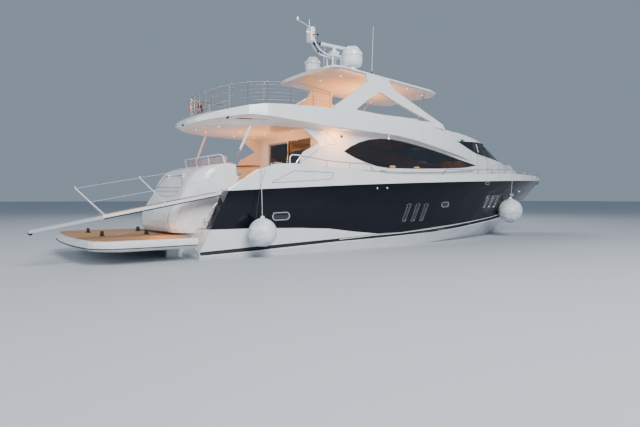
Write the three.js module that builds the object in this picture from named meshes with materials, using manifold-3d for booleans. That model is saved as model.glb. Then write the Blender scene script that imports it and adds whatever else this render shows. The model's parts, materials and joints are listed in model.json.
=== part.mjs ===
// A 26 m flybridge motor yacht, afloat: hull, deck, house, flybridge, hardtop, mast and stern gear.
// Millimetres. +X points to the bow, +Y to port, +Z up. The origin is amidships on the waterline.
import * as THREE from "three";
import { mergeVertices } from "three/addons/utils/BufferGeometryUtils.js";
import Module from "manifold-3d";

const wasm = await Module();
wasm.setup();

// Driving dimensions
const SEAT_GAP = 0.4; // between a piece and what carries it
const RUN_GAP = 8; // between a moving piece and its frame
const BOW_X = 13100; // tip of the stem at deck level
const STERN_X = -10000; // aft end of the hull side
const PLATFORM_AFT_X = -13150; // at the corners; the edge bows out further between them
const PLATFORM_TOP_Z = 720;
const COCKPIT_Z = 2380; // cockpit sole
const BULKHEAD_X = -4900; // aft bulkhead of the saloon
const CEILING_Z = 4450; // saloon and cockpit ceiling, the underside of the overhang
const FLY_FLOOR_Z = 4620; // flybridge deck
const WALL = 120; // thickness of house walls
const GLASS = 24;
const WING_INNER_Y = 2550; // inner face of the hull's quarter wings
const WIRE_R = 8;
const ROOF_CLEAR_Z = 5200; // above all of the house, for cutters
const ASTERN_X = -11000; // aft of the hull and its block, for cutters

// Finishes
const finish = (color, roughness, metalness = 0, opacity = 1) =>
  new THREE.MeshStandardMaterial({ color, roughness, metalness, opacity, transparent: opacity < 1 });
const FINISH = {
  navy: finish(0x10131f, 0.12),
  gelcoat: finish(0xe9edf0, 0.22),
  antifoul: finish(0xdde3e6, 0.35),
  teak: finish(0xb07a45, 0.6),
  steel: finish(0xd8dcdf, 0.15, 1),
  bronze: finish(0xa9824a, 0.3, 1),
  glass: finish(0x10161d, 0.04, 0, 0.55),
  cloth: finish(0xe6dcc8, 0.85),
  wood: finish(0x5a2413, 0.3),
  rubber: finish(0xdfe6ea, 0.5),
  vinyl: finish(0xf1f3f2, 0.4),
};

// Tables: named columns, one row a station
const table = (columns, rows) =>
  rows.map((row) => Object.fromEntries(columns.map((name, i) => [name, row[i]])));

// The value of one column at a place along the first column, on a smooth curve through the rows
function fair(rows, column, place) {
  const key = Object.keys(rows[0])[0];
  const last = rows.length - 1;
  let i = rows.findIndex((row) => row[key] > place) - 1;
  if (i === -2) i = last - 1;
  i = Math.max(0, Math.min(i, last - 1));
  const slope = (k) => {
    const before = rows[Math.max(k - 1, 0)];
    const after = rows[Math.min(k + 1, last)];
    return (after[column] - before[column]) / (after[key] - before[key]);
  };
  const span = rows[i + 1][key] - rows[i][key];
  const t = Math.max(0, Math.min(1, (place - rows[i][key]) / span));
  const [a, b, sa, sb] = [rows[i][column], rows[i + 1][column], slope(i) * span, slope(i + 1) * span];
  return (
    (2 * t ** 3 - 3 * t ** 2 + 1) * a +
    (t ** 3 - 2 * t ** 2 + t) * sa +
    (3 * t ** 2 - 2 * t ** 3) * b +
    (t ** 3 - t ** 2) * sb
  );
}
const lerp = (a, b, t) => a + (b - a) * t;
const quarter = (count) => steps(0, Math.PI / 2, count).map((a) => [Math.cos(a), Math.sin(a)]);
const steps = (from, to, count) => Array.from({ length: count + 1 }, (_, i) => lerp(from, to, i / count));

// Solids
function solidOf(geometry) {
  const bare = new THREE.BufferGeometry();
  bare.setAttribute("position", geometry.getAttribute("position"));
  if (geometry.index) bare.setIndex(geometry.index);
  const merged = mergeVertices(bare, 1e-3);
  const build = (triVerts) =>
    new wasm.Manifold(
      new wasm.Mesh({ numProp: 3, vertProperties: merged.attributes.position.array, triVerts }),
    );
  const faces = new Uint32Array(merged.index.array);
  const made = build(faces);
  return made.volume() >= 0 ? made : build(faces.reverse());
}

function geometryOf(solid) {
  const { vertProperties, numProp, numVert, triVerts } = solid.getMesh();
  const points = new Float32Array(numVert * 3);
  for (let i = 0; i < numVert; i++) points.set(vertProperties.subarray(i * numProp, i * numProp + 3), i * 3);
  const geometry = new THREE.BufferGeometry();
  geometry.setAttribute("position", new THREE.BufferAttribute(points, 3));
  geometry.setIndex(new THREE.BufferAttribute(triVerts, 1));
  const flat = geometry.toNonIndexed();
  flat.computeVertexNormals();
  return flat;
}

// A skin through closed rings of points, with both ends capped; flat names the two axes that a cap is cut in
function loft(rings, flat = ["y", "z"]) {
  const axis = { x: 0, y: 1, z: 2 };
  const count = rings[0].length;
  const faces = [];
  for (let r = 0; r + 1 < rings.length; r++) {
    for (let i = 0; i < count; i++) {
      const [a, b] = [r * count + i, r * count + ((i + 1) % count)];
      faces.push(a, b, b + count, a, b + count, a + count);
    }
  }
  const area = (points) => THREE.ShapeUtils.area(points);
  for (const end of [0, rings.length - 1]) {
    const outline = rings[end].map((p) => new THREE.Vector2(p[axis[flat[0]]], p[axis[flat[1]]]));
    const cap = THREE.ShapeUtils.triangulateShape(outline, []);
    const covered = cap.reduce((sum, corners) => sum + area(corners.map((i) => outline[i])), 0);
    const asRing = covered * area(outline) > 0;
    for (const [a, b, c] of cap) {
      const corners = asRing === end > 0 ? [a, b, c] : [a, c, b];
      faces.push(...corners.map((i) => end * count + i));
    }
  }
  const geometry = new THREE.BufferGeometry();
  geometry.setAttribute("position", new THREE.BufferAttribute(new Float32Array(rings.flat(2)), 3));
  geometry.setIndex(faces);
  return solidOf(geometry);
}

// A skin through four-cornered rings that turn a corner on the way, closed by a face at each end
function skin(rings) {
  const faces = [];
  for (let r = 0; r + 1 < rings.length; r++) {
    for (let i = 0; i < 4; i++) {
      const [a, b] = [r * 4 + i, r * 4 + ((i + 1) % 4)];
      faces.push(a, b, b + 4, a, b + 4, a + 4);
    }
  }
  const end = (rings.length - 1) * 4;
  faces.push(0, 2, 1, 0, 3, 2, end, end + 1, end + 2, end, end + 2, end + 3);
  const geometry = new THREE.BufferGeometry();
  geometry.setAttribute("position", new THREE.BufferAttribute(new Float32Array(rings.flat(2)), 3));
  geometry.setIndex(faces);
  return solidOf(geometry);
}

// A ring that is the same on both sides: half runs on the starboard side from centre line to centre line
const bothSides = (half) => [
  ...half.map(([x, y, z]) => [x, -y, z]),
  ...half.filter(([, y]) => y > 0).reverse(),
];

const box = (x0, x1, y0, y1, z0, z1) =>
  solidOf(
    new THREE.BoxGeometry(x1 - x0, y1 - y0, z1 - z0).translate((x0 + x1) / 2, (y0 + y1) / 2, (z0 + z1) / 2),
  );

// A round bar from one point to another
function bar(from, to, radius, sides = 8, tip = radius) {
  const [a, b] = [new THREE.Vector3(...from), new THREE.Vector3(...to)];
  const way = b.clone().sub(a);
  const geometry = new THREE.CylinderGeometry(tip, radius, way.length(), sides);
  geometry.applyQuaternion(
    new THREE.Quaternion().setFromUnitVectors(new THREE.Vector3(0, 1, 0), way.clone().normalize()),
  );
  return solidOf(geometry.translate(...a.add(b).multiplyScalar(0.5).toArray()));
}

// A bent bar along points
function bentBar(points, radius, sides = 6, pieces = points.length * 2) {
  const path = new THREE.CatmullRomCurve3(points.map((p) => new THREE.Vector3(...p)), false, "centripetal");
  const section = new THREE.Shape(
    Array.from({ length: sides }, (_, i) => {
      const turn = (i / sides) * 2 * Math.PI;
      return new THREE.Vector2(radius * Math.cos(turn), radius * Math.sin(turn));
    }),
  );
  const options = { steps: pieces, extrudePath: path, bevelEnabled: false };
  return solidOf(new THREE.ExtrudeGeometry(section, options));
}

// A side view outline in x and z, as thick as y0 to y1
function sidePlate(outline, y0, y1) {
  const shape = new THREE.Shape(outline.map((p) => new THREE.Vector2(...p)));
  const geometry = new THREE.ExtrudeGeometry(shape, { depth: y1 - y0, bevelEnabled: false });
  return solidOf(geometry.rotateX(Math.PI / 2).translate(0, y1, 0));
}

// A box with its upright corners rounded
function roundBox(x0, x1, y0, y1, z0, z1, radius) {
  const shape = new THREE.Shape();
  shape.moveTo(x0 + radius, y0);
  shape.lineTo(x1 - radius, y0).absarc(x1 - radius, y0 + radius, radius, -Math.PI / 2, 0);
  shape.lineTo(x1, y1 - radius).absarc(x1 - radius, y1 - radius, radius, 0, Math.PI / 2);
  shape.lineTo(x0 + radius, y1).absarc(x0 + radius, y1 - radius, radius, Math.PI / 2, Math.PI);
  shape.lineTo(x0, y0 + radius).absarc(x0 + radius, y0 + radius, radius, Math.PI, 1.5 * Math.PI);
  const options = { depth: z1 - z0, bevelEnabled: false, curveSegments: 3 };
  return solidOf(new THREE.ExtrudeGeometry(shape, options).translate(0, 0, z0));
}

const lathe = (profile, sides) =>
  solidOf(new THREE.LatheGeometry(profile.map((p) => new THREE.Vector2(...p)), sides).rotateX(Math.PI / 2));
const join = (...solids) => solids.reduce((whole, next) => whole.add(next));
const cut = (solid, ...cutters) => cutters.reduce((whole, next) => whole.subtract(next), solid);
const placed = (solid, matrix) => solid.transform(matrix.toArray());
const moved = (solid, x, y, z) => placed(solid, new THREE.Matrix4().makeTranslation(x, y, z));
// What is left of a solid beside another, with a gap between them; loose scraps are dropped
function beside(solid, other, gap = SEAT_GAP) {
  const shifts = [[gap, 0, 0], [-gap, 0, 0], [0, gap, 0], [0, -gap, 0], [0, 0, gap], [0, 0, -gap]];
  return mainBody(shifts.reduce((left, [x, y, z]) => left.subtract(moved(other, x, y, z)), solid));
}
const mainBody = (solid) => solid.decompose().sort((a, b) => b.volume() - a.volume())[0];
const mirrored = (solid) => placed(solid, new THREE.Matrix4().makeScale(1, -1, 1));

// The assembly
const yacht = new THREE.Group();
yacht.name = "motor_yacht";
function add(name, solid, material) {
  const mesh = new THREE.Mesh(geometryOf(solid), material);
  mesh.name = name;
  yacht.add(mesh);
}

// Hull lines. Each runs from the stern, s = 0, to the stem, s = 1, on its own stretch of x.
const LINE_X = {
  keel: [-9900, 10200],
  chine: [STERN_X, 10400],
  knuckle: [STERN_X, 11200],
  sheer: [-9040, BOW_X],
};
const HULL = table(
  ["s", "keelZ", "chineY", "chineZ", "knuckleY", "knuckleZ", "sheerY", "sheerZ", "hollow"],
  [
    [0.0, -950, 2720, -220, 2890, 190, 3000, 2160, 0],
    [0.1, -1100, 2780, -200, 2960, 260, 3090, 2280, 0],
    [0.25, -1250, 2800, -150, 3010, 390, 3150, 2440, 0],
    [0.4, -1320, 2750, -80, 2990, 490, 3150, 2570, 5],
    [0.55, -1300, 2500, 50, 2830, 640, 3050, 2680, 30],
    [0.7, -1150, 1980, 250, 2370, 870, 2690, 2780, 80],
    [0.82, -820, 1320, 480, 1680, 1110, 2070, 2850, 130],
    [0.91, -350, 700, 700, 950, 1320, 1300, 2900, 130],
    [0.97, 350, 250, 880, 350, 1490, 570, 2940, 60],
    [1.0, 850, 45, 1000, 50, 1600, 50, 2970, 0],
  ],
);
const STATIONS = [
  0, 0.025, 0.05, 0.08, 0.11, 0.16, 0.22, 0.28, 0.34, 0.4, 0.475, 0.55, 0.625, 0.7, 0.76, 0.82, 0.865, 0.91,
  0.94, 0.97, 1,
];
const KEEL_HALF = 45;
const KEEL_FLAT_Z = -1290; // the keel runs level amidships at this depth
const SPRAY_STEP = 45; // the lower hull stands this far proud of the topsides

// Where the dark topsides end and the white lower hull begins
const PAINT = table(
  ["x", "z"],
  [
    [-10000, 940], [-8300, 930], [-6400, 880], [-5200, 810], [-3800, 640], [-2600, 540], [-1200, 580],
    [2300, 800], [5600, 1060], [9000, 1420], [11400, 1760],
  ],
);
const lineX = (line, s) => lerp(...LINE_X[line], s);
const onLine = (line, s) => [lineX(line, s), fair(HULL, line + "Y", s), fair(HULL, line + "Z", s)];

// Points up the topsides between the knuckle, rise 0, and the sheer, rise 1
function onSide(s, rise) {
  const [a, b] = [onLine("knuckle", s), onLine("sheer", s)];
  const hollow = 4 * rise * (1 - rise) * fair(HULL, "hollow", s);
  return [lerp(a[0], b[0], rise), Math.max(20, lerp(a[1], b[1], rise) - hollow), lerp(a[2], b[2], rise)];
}
function paintRise(s) {
  const [low, high] = [onLine("knuckle", s), onLine("sheer", s)];
  const z = fair(PAINT, "z", low[0]);
  return Math.max(0.03, (z - low[2]) / (high[2] - low[2]));
}

function hullBottom() {
  return loft(
    STATIONS.map((s) => {
      const edge = onSide(s, paintRise(s));
      const knuckle = onLine("knuckle", s);
      const chine = onLine("chine", s);
      const keel = [lineX("keel", s), KEEL_HALF, Math.max(KEEL_FLAT_Z, fair(HULL, "keelZ", s))];
      const proud = SPRAY_STEP * Math.min(1, knuckle[1] / 900);
      return bothSides([
        [edge[0], 0, edge[2]],
        edge,
        knuckle,
        [knuckle[0], knuckle[1] + proud, knuckle[2] - 30],
        [knuckle[0], knuckle[1] + proud, knuckle[2] - 90],
        chine,
        keel,
        [keel[0], 0, keel[2]],
      ]);
    }),
  );
}
function hullTopsides() {
  return loft(
    STATIONS.map((s) => {
      const low = paintRise(s);
      const side = [0, 0.35, 0.7, 1].map((t) => onSide(s, lerp(low, 1, t)));
      side[0] = [side[0][0], side[0][1], side[0][2] + SEAT_GAP];
      return bothSides([[side[0][0], 0, side[0][2]], ...side, [side[3][0], 0, side[3][2]]]);
    }),
  );
}

// The bulwark's top and the deck inside it
const DECK = table(
  ["x", "capZ", "deckZ"],
  [
    [-9040, 2230, 2205], [-8480, 2560, 2300], [-7900, 2900, COCKPIT_Z], [-7330, 3070, COCKPIT_Z],
    [-6700, 3120, COCKPIT_Z], [-5500, 3050, COCKPIT_Z], [-4200, 3000, 2430], [-2400, 2880, 2520],
    [-1600, 2830, 2560], [850, 2910, 2650], [3000, 3000, 2740], [6300, 3120, 2850], [8000, 3140, 2890],
    [10700, 3110, 2950], [13100, 3110, 3010],
  ],
);
const CAP = 130; // width of the bulwark's cap
const LEAN = 25; // the bulwark's outer face leans inboard by this much
const FLARE = 10; // and its inner face by this much
// The bulwark's section at a station: outer half width, inner half width at the deck, and heights
function bulwarkAt(s) {
  const [x, y, z] = onLine("sheer", s);
  const lean = LEAN * Math.min(1, y / 600);
  const cap = Math.min(CAP, y * 0.6);
  const capZ = fair(DECK, "capZ", x);
  const deckZ = Math.min(fair(DECK, "deckZ", x), capZ - 15);
  const innerY = y - lean - cap - FLARE * Math.min(1, y / 600);
  return { x, y, z: z + SEAT_GAP, lean, cap, capZ, deckZ, innerY };
}
function bulwark(side) {
  const rings = STATIONS.map((s) => {
    const { x, y, z, lean, cap, capZ, innerY } = bulwarkAt(s);
    return [[x, innerY, z], [x, y, z], [x, y - lean, capZ], [x, y - lean - cap, capZ]];
  });
  const port = loft(rings);
  return side > 0 ? port : mirrored(port);
}
const deckSlab = (grow = 0) =>
  loft(
    STATIONS.map((s) => {
      const { x, z, deckZ, innerY } = bulwarkAt(s);
      const edge = innerY - SEAT_GAP;
      return bothSides([[x, 0, z], [x, edge, z], [x, edge, deckZ + grow], [x, 0, deckZ + grow]]);
    }),
  );
const deckForm = () => join(deckSlab(), bulwark(1), bulwark(-1));
const deckAt = (x) => fair(DECK, "deckZ", x);

// The stern: a recess between the quarter wings holds the transom block, its garage and the stair
const RECESS_FWD_X = -8200;
const RECESS_Z = 600;
const recess = () => box(ASTERN_X, RECESS_FWD_X, -WING_INNER_Y, WING_INNER_Y, RECESS_Z, 4000);
const GARAGE = { fwd: -6500, halfWidth: 1560, floorZ: 700, topZ: 2040 };
const garageUpTo = (fwd) =>
  box(ASTERN_X, fwd, -GARAGE.halfWidth, GARAGE.halfWidth, GARAGE.floorZ, GARAGE.topZ);

// Guide rails for the swim platform on the hull's flat stern
const LIFT_Y = 1400;
const RUDDER = { x: -9480, y: 1200, lowZ: -1780, topZ: -780, padZ: -700, padR: 75 };
const PROP = { x: -8850, y: 1200, z: -1380, radius: 470, tilt: (9 * Math.PI) / 180, blades: 4, shaft: 3300 };
const SHAFT_R = 38;
const shaftFrame = new THREE.Matrix4()
  .makeTranslation(PROP.x, PROP.y, PROP.z)
  .multiply(new THREE.Matrix4().makeRotationY(Math.PI / 2 - PROP.tilt));
const STERN_TUBE = { length: 1300, r: 62 };
const sternTube = () => {
  const from = PROP.shaft + RUN_GAP;
  return placed(bar([0, 0, from], [0, 0, PROP.shaft + STERN_TUBE.length], STERN_TUBE.r, 12), shaftFrame);
};
const rudderPad = (side) => {
  const y = side * RUDDER.y;
  return bar([RUDDER.x, y, RUDDER.padZ], [RUDDER.x, y, -400], RUDDER.padR, 16);
};
const LIFT_RAIL = { proud: 60, deep: 200, half: 70, lowZ: -480, topZ: 520 };
const liftRail = (side) => {
  const { proud, deep, half, lowZ, topZ } = LIFT_RAIL;
  return box(STERN_X - proud, STERN_X + deep, side * LIFT_Y - half, side * LIFT_Y + half, lowZ, topZ);
};

const fittings = [liftRail(-1), liftRail(1), rudderPad(-1), rudderPad(1), sternTube(), mirrored(sternTube())];
const hullForm = join(hullBottom(), ...fittings);
add("hull_bottom", cut(hullForm, recess()), FINISH.antifoul);
add("hull_topsides", cut(hullTopsides(), recess(), garageUpTo(GARAGE.fwd)), FINISH.navy);
add("deck", cut(deckSlab(), recess()), FINISH.gelcoat);
add("bulwark_port", mainBody(cut(bulwark(1), recess())), FINISH.gelcoat);
add("bulwark_stbd", mainBody(cut(bulwark(-1), recess())), FINISH.gelcoat);

// Transom block: rings at heights, rounded at the quarters
const BLOCK = table(
  ["z", "aftX", "halfY", "round"],
  [
    [RECESS_Z + SEAT_GAP, -9840, 1880, 420],
    [PLATFORM_TOP_Z + 20, -9860, 1880, 420],
    [800, -10360, 1885, 620],
    [950, -10450, 1890, 660],
    [1200, -10480, 1895, 660],
    [1450, -10420, 1900, 640],
    [1730, -10240, 1900, 600],
    [2020, -10050, 1900, 570],
    [2310, -9890, 1895, 540],
    [2560, -9750, 1885, 510],
    [2760, -9600, 1875, 480],
    [2900, -9420, 1860, 460],
    [3000, -9200, 1845, 420],
    [3060, -8980, 1835, 380],
    [3090, -8700, 1820, 300],
  ],
);
function blockRing(row, inset) {
  const [fwd, aft, y, r] = [RECESS_FWD_X - SEAT_GAP, row.aftX + inset, row.halfY - inset, row.round];
  const corner = quarter(4).map(([c, n]) => [aft + r - r * n, y - r + r * c, row.z]);
  return bothSides([[fwd, 0, row.z], [fwd, y, row.z], ...corner, [aft - 30, 0, row.z]]);
}
const block = (inset = 0) => loft(BLOCK.map((row) => blockRing(row, inset)), ["x", "y"]);
const DOOR = { halfY: 1380, lowZ: 820, topZ: 2700, thick: 90 };
const doorWindow = (grow) =>
  box(ASTERN_X, -9200, -DOOR.halfY - grow, DOOR.halfY + grow, DOOR.lowZ - grow, DOOR.topZ + grow);
// The door hangs on two barrels between lugs above its top edge
const DOOR_PIN = { x: -9700, z: 2740, r: 22, y: 700, halfLength: 100 };
const DOOR_STRAP = { aft: 12, fwd: 38, lowZ: 2630 };
const LUG = { wide: 40, fwd: 170, lowZ: 2718, topZ: 2764 };
function doorBarrel(side) {
  const { x, z, r, y, halfLength } = DOOR_PIN;
  const [y0, y1] = [side * y - halfLength, side * y + halfLength];
  const strap = box(x - DOOR_STRAP.aft, x + DOOR_STRAP.fwd, y0, y1, DOOR_STRAP.lowZ, z);
  return join(bar([x, y0, z], [x, y1, z], r, 12), strap);
}
function doorLugs(side) {
  const { x, r, y, halfLength } = DOOR_PIN;
  const [near, far] = [side * y - halfLength - SEAT_GAP, side * y + halfLength + SEAT_GAP];
  return join(
    box(x - r, x + LUG.fwd, near - LUG.wide, near, LUG.lowZ, LUG.topZ),
    box(x - r, x + LUG.fwd, far, far + LUG.wide, LUG.lowZ, LUG.topZ),
  );
}
const garageDoor = join(
  block().subtract(block(DOOR.thick)).intersect(doorWindow(0)),
  doorBarrel(-1),
  doorBarrel(1),
);

const STAIR = { count: 7, inner: 1900, outer: WING_INNER_Y - SEAT_GAP, aft: -9700 };
// A flight beside the block on each side; each tread is a box down to the recess floor
function stair(side) {
  const run = (RECESS_FWD_X - SEAT_GAP - STAIR.aft) / STAIR.count;
  const rise = (COCKPIT_Z - PLATFORM_TOP_Z) / (STAIR.count + 1);
  const [y0, y1] = [side * (STAIR.inner - 200), side * STAIR.outer].sort((a, b) => a - b);
  const step = (i) =>
    box(
      STAIR.aft + run * i,
      RECESS_FWD_X - SEAT_GAP,
      y0,
      y1,
      RECESS_Z + SEAT_GAP,
      PLATFORM_TOP_Z + rise * (i + 1),
    );
  return join(...steps(0, STAIR.count - 1, STAIR.count - 1).map(step));
}
// The gangway's seat stands on the starboard stair
const GANGWAY = {
  rootX: -8800, rootZ: 2110, y: -2230, angle: (10.7 * Math.PI) / 180,
  wide: 400, deep: 130, outer: 3950, end: 5840, seatZ: 1970,
};
const gangwayEdge = (way) => GANGWAY.y + (way * GANGWAY.wide) / 2;
const gangwaySeat = box(-8960, -8590, gangwayEdge(-1), gangwayEdge(1), 1000, GANGWAY.seatZ);
const cavity = block(DOOR.thick).intersect(garageUpTo(RECESS_FWD_X + 100));
const BEHIND_DOOR_X = -9480; // the hollow behind the door's upper part ends here
const behindDoor = block(DOOR.thick).intersect(
  box(ASTERN_X, BEHIND_DOOR_X, -GARAGE.halfWidth, GARAGE.halfWidth, GARAGE.floorZ, DOOR.topZ + 60),
);
add(
  "transom",
  cut(
    join(block(), stair(1), stair(-1), gangwaySeat, doorLugs(-1), doorLugs(1)),
    doorWindow(RUN_GAP),
    cavity,
    behindDoor,
  ),
  FINISH.gelcoat,
);
add("garage_door", garageDoor, FINISH.gelcoat);

// Swim platform, with the carriage that runs on the guide rails
const PLATFORM = table(
  ["z", "inset"],
  [[400, 170], [440, 70], [485, 10], [530, 0], [640, 0], [695, 30], [PLATFORM_TOP_Z, 90]],
);
const PLATFORM_HALF_Y = 3020;
const PLATFORM_BOW = 150; // the aft edge bows out by this much on the centre line
const PLATFORM_CORNER = 800;
const PLATFORM_FWD_X = STERN_X - LIFT_RAIL.proud - RUN_GAP;
function platformRing({ z, inset }) {
  const [aft, y, r] = [PLATFORM_AFT_X + inset, PLATFORM_HALF_Y - inset, PLATFORM_CORNER];
  const corner = quarter(5).map(([c, n]) => [aft + r - r * n, y - r + r * c, z]);
  const bulge = (part) => PLATFORM_BOW * (1 - (part * y) ** 2 / (y - r) ** 2);
  const bow = [0.45, 0.22, 0].map((part) => [aft - bulge(part), part * y, z]);
  return bothSides([[PLATFORM_FWD_X, 0, z], [PLATFORM_FWD_X, y, z], ...corner, ...bow]);
}
const carriage = (side) => {
  const [y, top] = [side * LIFT_Y, PLATFORM[0].z + 5];
  return join(
    box(-10500, STERN_X - LIFT_RAIL.proud - SEAT_GAP, y - 90, y + 90, -420, top),
    box(-12000, -10480, y - 60, y + 60, 250, top),
  );
};
const platform = join(loft(PLATFORM.map(platformRing), ["x", "y"]), carriage(-1), carriage(1));
add("swim_platform", platform, FINISH.gelcoat);

// House sides: x, half width at the deck and at the shoulder, height of shoulder and of the middle
const ROOF_Z = CEILING_Z - SEAT_GAP;
const HOUSE = table(
  ["x", "baseY", "shoulderY", "shoulderZ", "topZ"],
  [
    [-6100, 2500, 2440, ROOF_Z, ROOF_Z], [BULKHEAD_X, 2500, 2440, ROOF_Z, ROOF_Z],
    [-2500, 2500, 2440, ROOF_Z, ROOF_Z], [0, 2470, 2410, ROOF_Z, ROOF_Z],
    [1500, 2420, 2370, ROOF_Z, ROOF_Z], [2570, 2370, 2315, ROOF_Z, ROOF_Z],
    [3500, 2300, 2240, 4260, 4260], [4350, 2220, 2160, 4050, 4050], [5450, 2080, 1975, 3930, 3930],
    [6600, 1840, 1690, 3830, 3830], [7570, 1560, 1350, 3760, 3760], [8300, 1340, 1080, 3740, 3760],
    [9050, 1120, 860, 3700, 3780], [9600, 930, 690, 3480, 3600], [10200, 720, 530, 3260, 3380],
    [10800, 500, 360, 3110, 3200], [11300, 300, 200, 3040, 3080],
  ],
);
// The house as a solid, drawn in by inset; tall carries its top up to that height, for hollowing
function houseForm(inset, from, to, tall = 0) {
  const xs = [...HOUSE.map((row) => row.x).filter((x) => x > from && x < to), from, to].sort((a, b) => a - b);
  const at = (x, column) => {
    const i = Math.max(1, HOUSE.findIndex((row) => row.x >= x));
    const [a, b] = [HOUSE[i - 1], HOUSE[i]];
    return lerp(a[column], b[column], (x - a.x) / (b.x - a.x));
  };
  return loft(
    xs.map((x) => {
      const [baseY, shoulderY] = [at(x, "baseY") - inset, at(x, "shoulderY") - inset];
      const [shoulderZ, topZ] = tall ? [tall, tall] : [at(x, "shoulderZ"), at(x, "topZ")];
      const floor = deckAt(x) - 16;
      return bothSides([[x, 0, floor], [x, baseY, floor], [x, shoulderY, shoulderZ], [x, 0, topZ]]);
    }),
  );
}
const HOUSE_FRONT_X = 11300;
const EYE_WINDOW = [
  [-3940, 3710], [-3620, 3890], [-3210, 4070], [-2700, 4210], [-2100, 4290], [-1450, 4300],
  [-790, 4250], [150, 4130], [1150, 3980], [2100, 3830], [2810, 3700], [4280, 3470], [3320, 3360],
  [1670, 3260], [-310, 3190], [-1660, 3170], [-2300, 3220], [-2900, 3350], [-3460, 3520],
];
const eyeWindow = (side) => sidePlate(EYE_WINDOW, side > 0 ? 1500 : -3500, side > 0 ? 3500 : -1500);
const houseInner = houseForm(WALL, BULKHEAD_X + WALL, 8800, ROOF_CLEAR_Z);
const DOORWAY = { halfY: 1580, topZ: 4250 };
const doorway = box(
  BULKHEAD_X - 300, BULKHEAD_X + 300, -DOORWAY.halfY, DOORWAY.halfY, deckAt(BULKHEAD_X) + 30, DOORWAY.topZ,
);
const deckSurface = deckSlab(SEAT_GAP);
const houseShell = mainBody(
  cut(houseForm(0, BULKHEAD_X, HOUSE_FRONT_X), houseInner, eyeWindow(1), eyeWindow(-1), doorway, deckSurface),
);

// Aft of the bulkhead each side runs on as a wing with a notch: a gusset under the overhang and a low coaming
const WING = [
  [BULKHEAD_X + 50, 4500], [-5850, 4500], [-5120, 3950], [-5450, 3780], [-5800, 3600], [-5930, 3420],
  [-5960, 3200], [-5960, 2200], [BULKHEAD_X + 50, 2200],
];
const WING_WALL = 80;
const wings = cut(
  houseForm(0, -6100, BULKHEAD_X + 60).intersect(sidePlate(WING, -3000, 3000)),
  houseForm(WING_WALL, -6090, BULKHEAD_X + 100, ROOF_CLEAR_Z),
  box(-6200, -6080, -3000, 3000, 2000, 5000),
  deckSurface,
);

// Helm doors. Their openings run in y from inside the house out past its side.
const beyond = (side) => (side > 0 ? [1500, 3000] : [-3000, -1500]);
const HELM_DOOR = { aft: 4430, fwd: 5430, sill: 2830 };
const helmDoorway = (by, side) =>
  box(HELM_DOOR.aft + by, HELM_DOOR.fwd - by, ...beyond(side), HELM_DOOR.sill + by, 4600);
// Foredeck hatch: a lid on a raised frame that lies on the slope of the trunk roof
const HATCH = {
  x: 9950,
  z: 3480,
  half: 300,
  frame: 345,
  high: 25,
  lid: 45,
  round: 60,
  slope: (20 * Math.PI) / 180,
};
const hatchPlace = new THREE.Matrix4()
  .makeTranslation(HATCH.x, 0, HATCH.z)
  .multiply(new THREE.Matrix4().makeRotationY(HATCH.slope));
const hatchPlate = (half, z0, z1) => roundBox(-half, half, -half, half, z0, z1, HATCH.round);
const hatchFrame = hatchPlate(HATCH.frame, -160, HATCH.high);
const hatchLid = hatchPlate(HATCH.half, HATCH.high + SEAT_GAP, HATCH.high + HATCH.lid);
add("foredeck_hatch", placed(hatchLid, hatchPlace), FINISH.glass);
const SALOON_DOOR = {
  lowZ: deckAt(BULKHEAD_X) + 40,
  topZ: DOORWAY.topZ - 10,
  leafX: BULKHEAD_X + WALL + RUN_GAP,
  thick: 45,
};
const doorTrack = box(
  BULKHEAD_X + WALL - 20, SALOON_DOOR.leafX + SALOON_DOOR.thick + 6, -DOORWAY.halfY, DOORWAY.halfY + 20,
  deckAt(BULKHEAD_X) - 10, SALOON_DOOR.lowZ - SEAT_GAP,
);
const deckhouse = join(
  cut(houseShell, helmDoorway(0, 1), helmDoorway(0, -1)),
  wings,
  placed(hatchFrame, hatchPlace),
  cut(doorTrack, deckSurface),
);
add("deckhouse", deckhouse, FINISH.gelcoat);
const HELM_DOOR_WALL = 50;
const doorBand = cut(
  houseForm(0, BULKHEAD_X, HOUSE_FRONT_X),
  houseForm(HELM_DOOR_WALL, BULKHEAD_X + 50, HOUSE_FRONT_X - 100, ROOF_CLEAR_Z),
);
for (const [name, side] of [["helm_door_port", 1], ["helm_door_stbd", -1]]) {
  add(name, doorBand.intersect(helmDoorway(SEAT_GAP, side)), FINISH.gelcoat);
}
const eyeBand = cut(
  houseForm(20, BULKHEAD_X + 100, 9000),
  houseForm(20 + GLASS, BULKHEAD_X + 60, 9100, ROOF_CLEAR_Z),
);
for (const [name, side] of [["side_window_port", 1], ["side_window_stbd", -1]]) {
  add(name, beside(eyeBand.intersect(eyeWindow(side)), deckhouse), FINISH.glass);
}

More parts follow.
